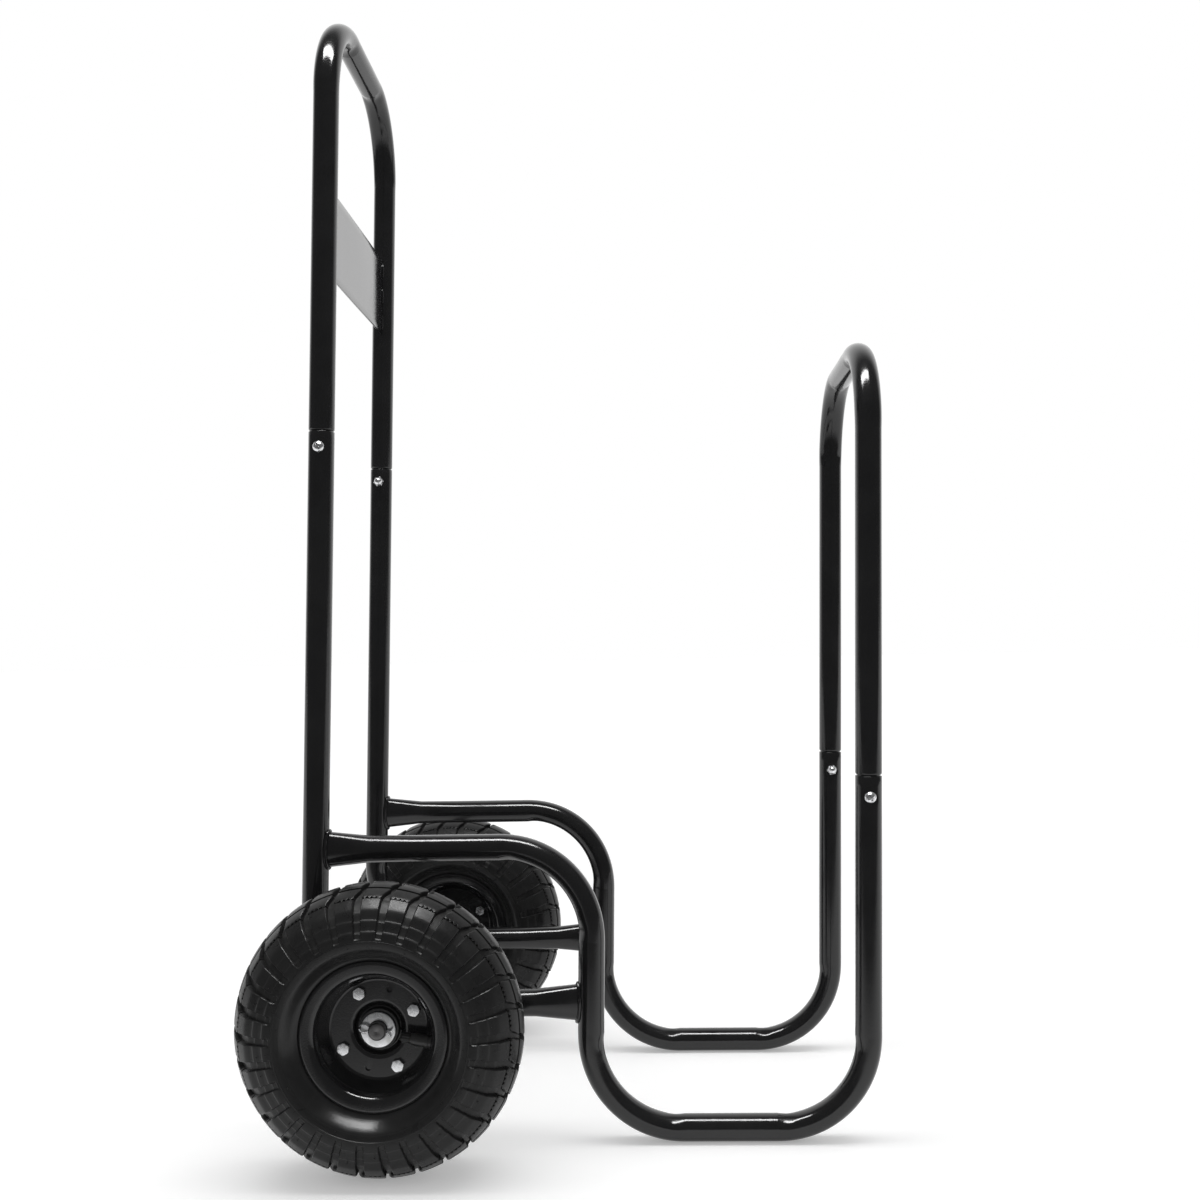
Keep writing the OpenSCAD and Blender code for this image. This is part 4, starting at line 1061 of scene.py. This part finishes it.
# ---------- valves and caps
# A rubber stem comes through the rim's well and points to the axle. A brass
# tube in it carries a ribbed black plastic cap.
stem_rubber = finish_material(
    "valve_rubber", (0.012, 0.012, 0.012), (0.022, 0.022, 0.022), (80.0, 0.3, 0.5),
    (1500.0, 200.0, 0.3, 0.2, 0.0003), dust=(0.04, 60.0))
cap_plastic = finish_material(
    "cap_plastic", (0.008, 0.008, 0.008), (0.013, 0.013, 0.013), (120.0, 0.26, 0.42),
    (1500.0, 200.0, 0.3, 0.15, 0.0003))
stem_profile = [(3.9, -10.4), (5.0, -10.6), (5.45, -10.0), (5.45, 6.5), (5.9, 7.1), (6.05, 8.2),
                (5.9, 9.3), (5.5, 9.9), (5.5, 19.0), (5.35, 19.8), (4.75, 22.6), (4.4, 22.9),
                (3.9, 22.9)]
stem = turned(stem_profile, 64, hollow=True)
stem = set_at(stem, round_z(54.0, valve_turn, valve_place), -valve_out)
wheel_piece("valve_stem_body", stem, stem_rubber, "valve_stem")


def ribbed(radius, turn):
    """Radius with twelve shallow ribs round the cap's side."""
    return radius - (0.28 * max(0.0, sin(turn * 12)) ** 0.7 if radius > 4.4 else 0.0)


cap_profile = [(3.95, 1.4), (3.95, -0.4), (4.3, -0.5), (4.65, -0.3), (4.8, 0.1), (4.8, 6.2), (4.6, 6.9),
               (3.9, 7.7), (3.2, 8.3), (2.4, 8.5), (0.5, 8.5)]
cap = set_at(turned(cap_profile, 96, ribbed), round_z(30.5, valve_turn, valve_place), -valve_out)
wheel_piece("valve_cap_ribbed", cap, cap_plastic, "valve_cap")

# ---------- parts kept from the solids
# Brass valve tubes, inner tubes and ball bearings are plain shapes, mostly out
# of sight, and keep their solids with a finish of their own.
brass = finish_material(
    "valve_brass", (0.62, 0.44, 0.16), (0.4, 0.29, 0.12), (150.0, 0.25, 0.45),
    (1600.0, 250.0, 0.3, 0.15, 0.0002), metallic=1.0)
tube_rubber = finish_material(
    "inner_tube_rubber", (0.02, 0.02, 0.02), (0.035, 0.035, 0.034), (40.0, 0.5, 0.7),
    (900.0, 120.0, 0.4, 0.25, 0.0005), dust=(0.2, 25.0))
bearing_steel = finish_material(
    "bearing_steel", (0.6, 0.6, 0.61), (0.45, 0.44, 0.42), (160.0, 0.16, 0.3),
    (2000.0, 300.0, 0.3, 0.08, 0.0002), metallic=1.0)
for stem, material in (("valve_tube", brass), ("inner_tube", tube_rubber),
                       ("bearing_rings", bearing_steel), ("bearing_balls", bearing_steel)):
    for label, _ in cart_sides:
        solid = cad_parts[f"{stem}_{label}"]
        solid.data.materials.clear()
        solid.data.materials.append(material)

# ---------- end
# The view layer is brought up to date.
bpy.context.view_layer.update()
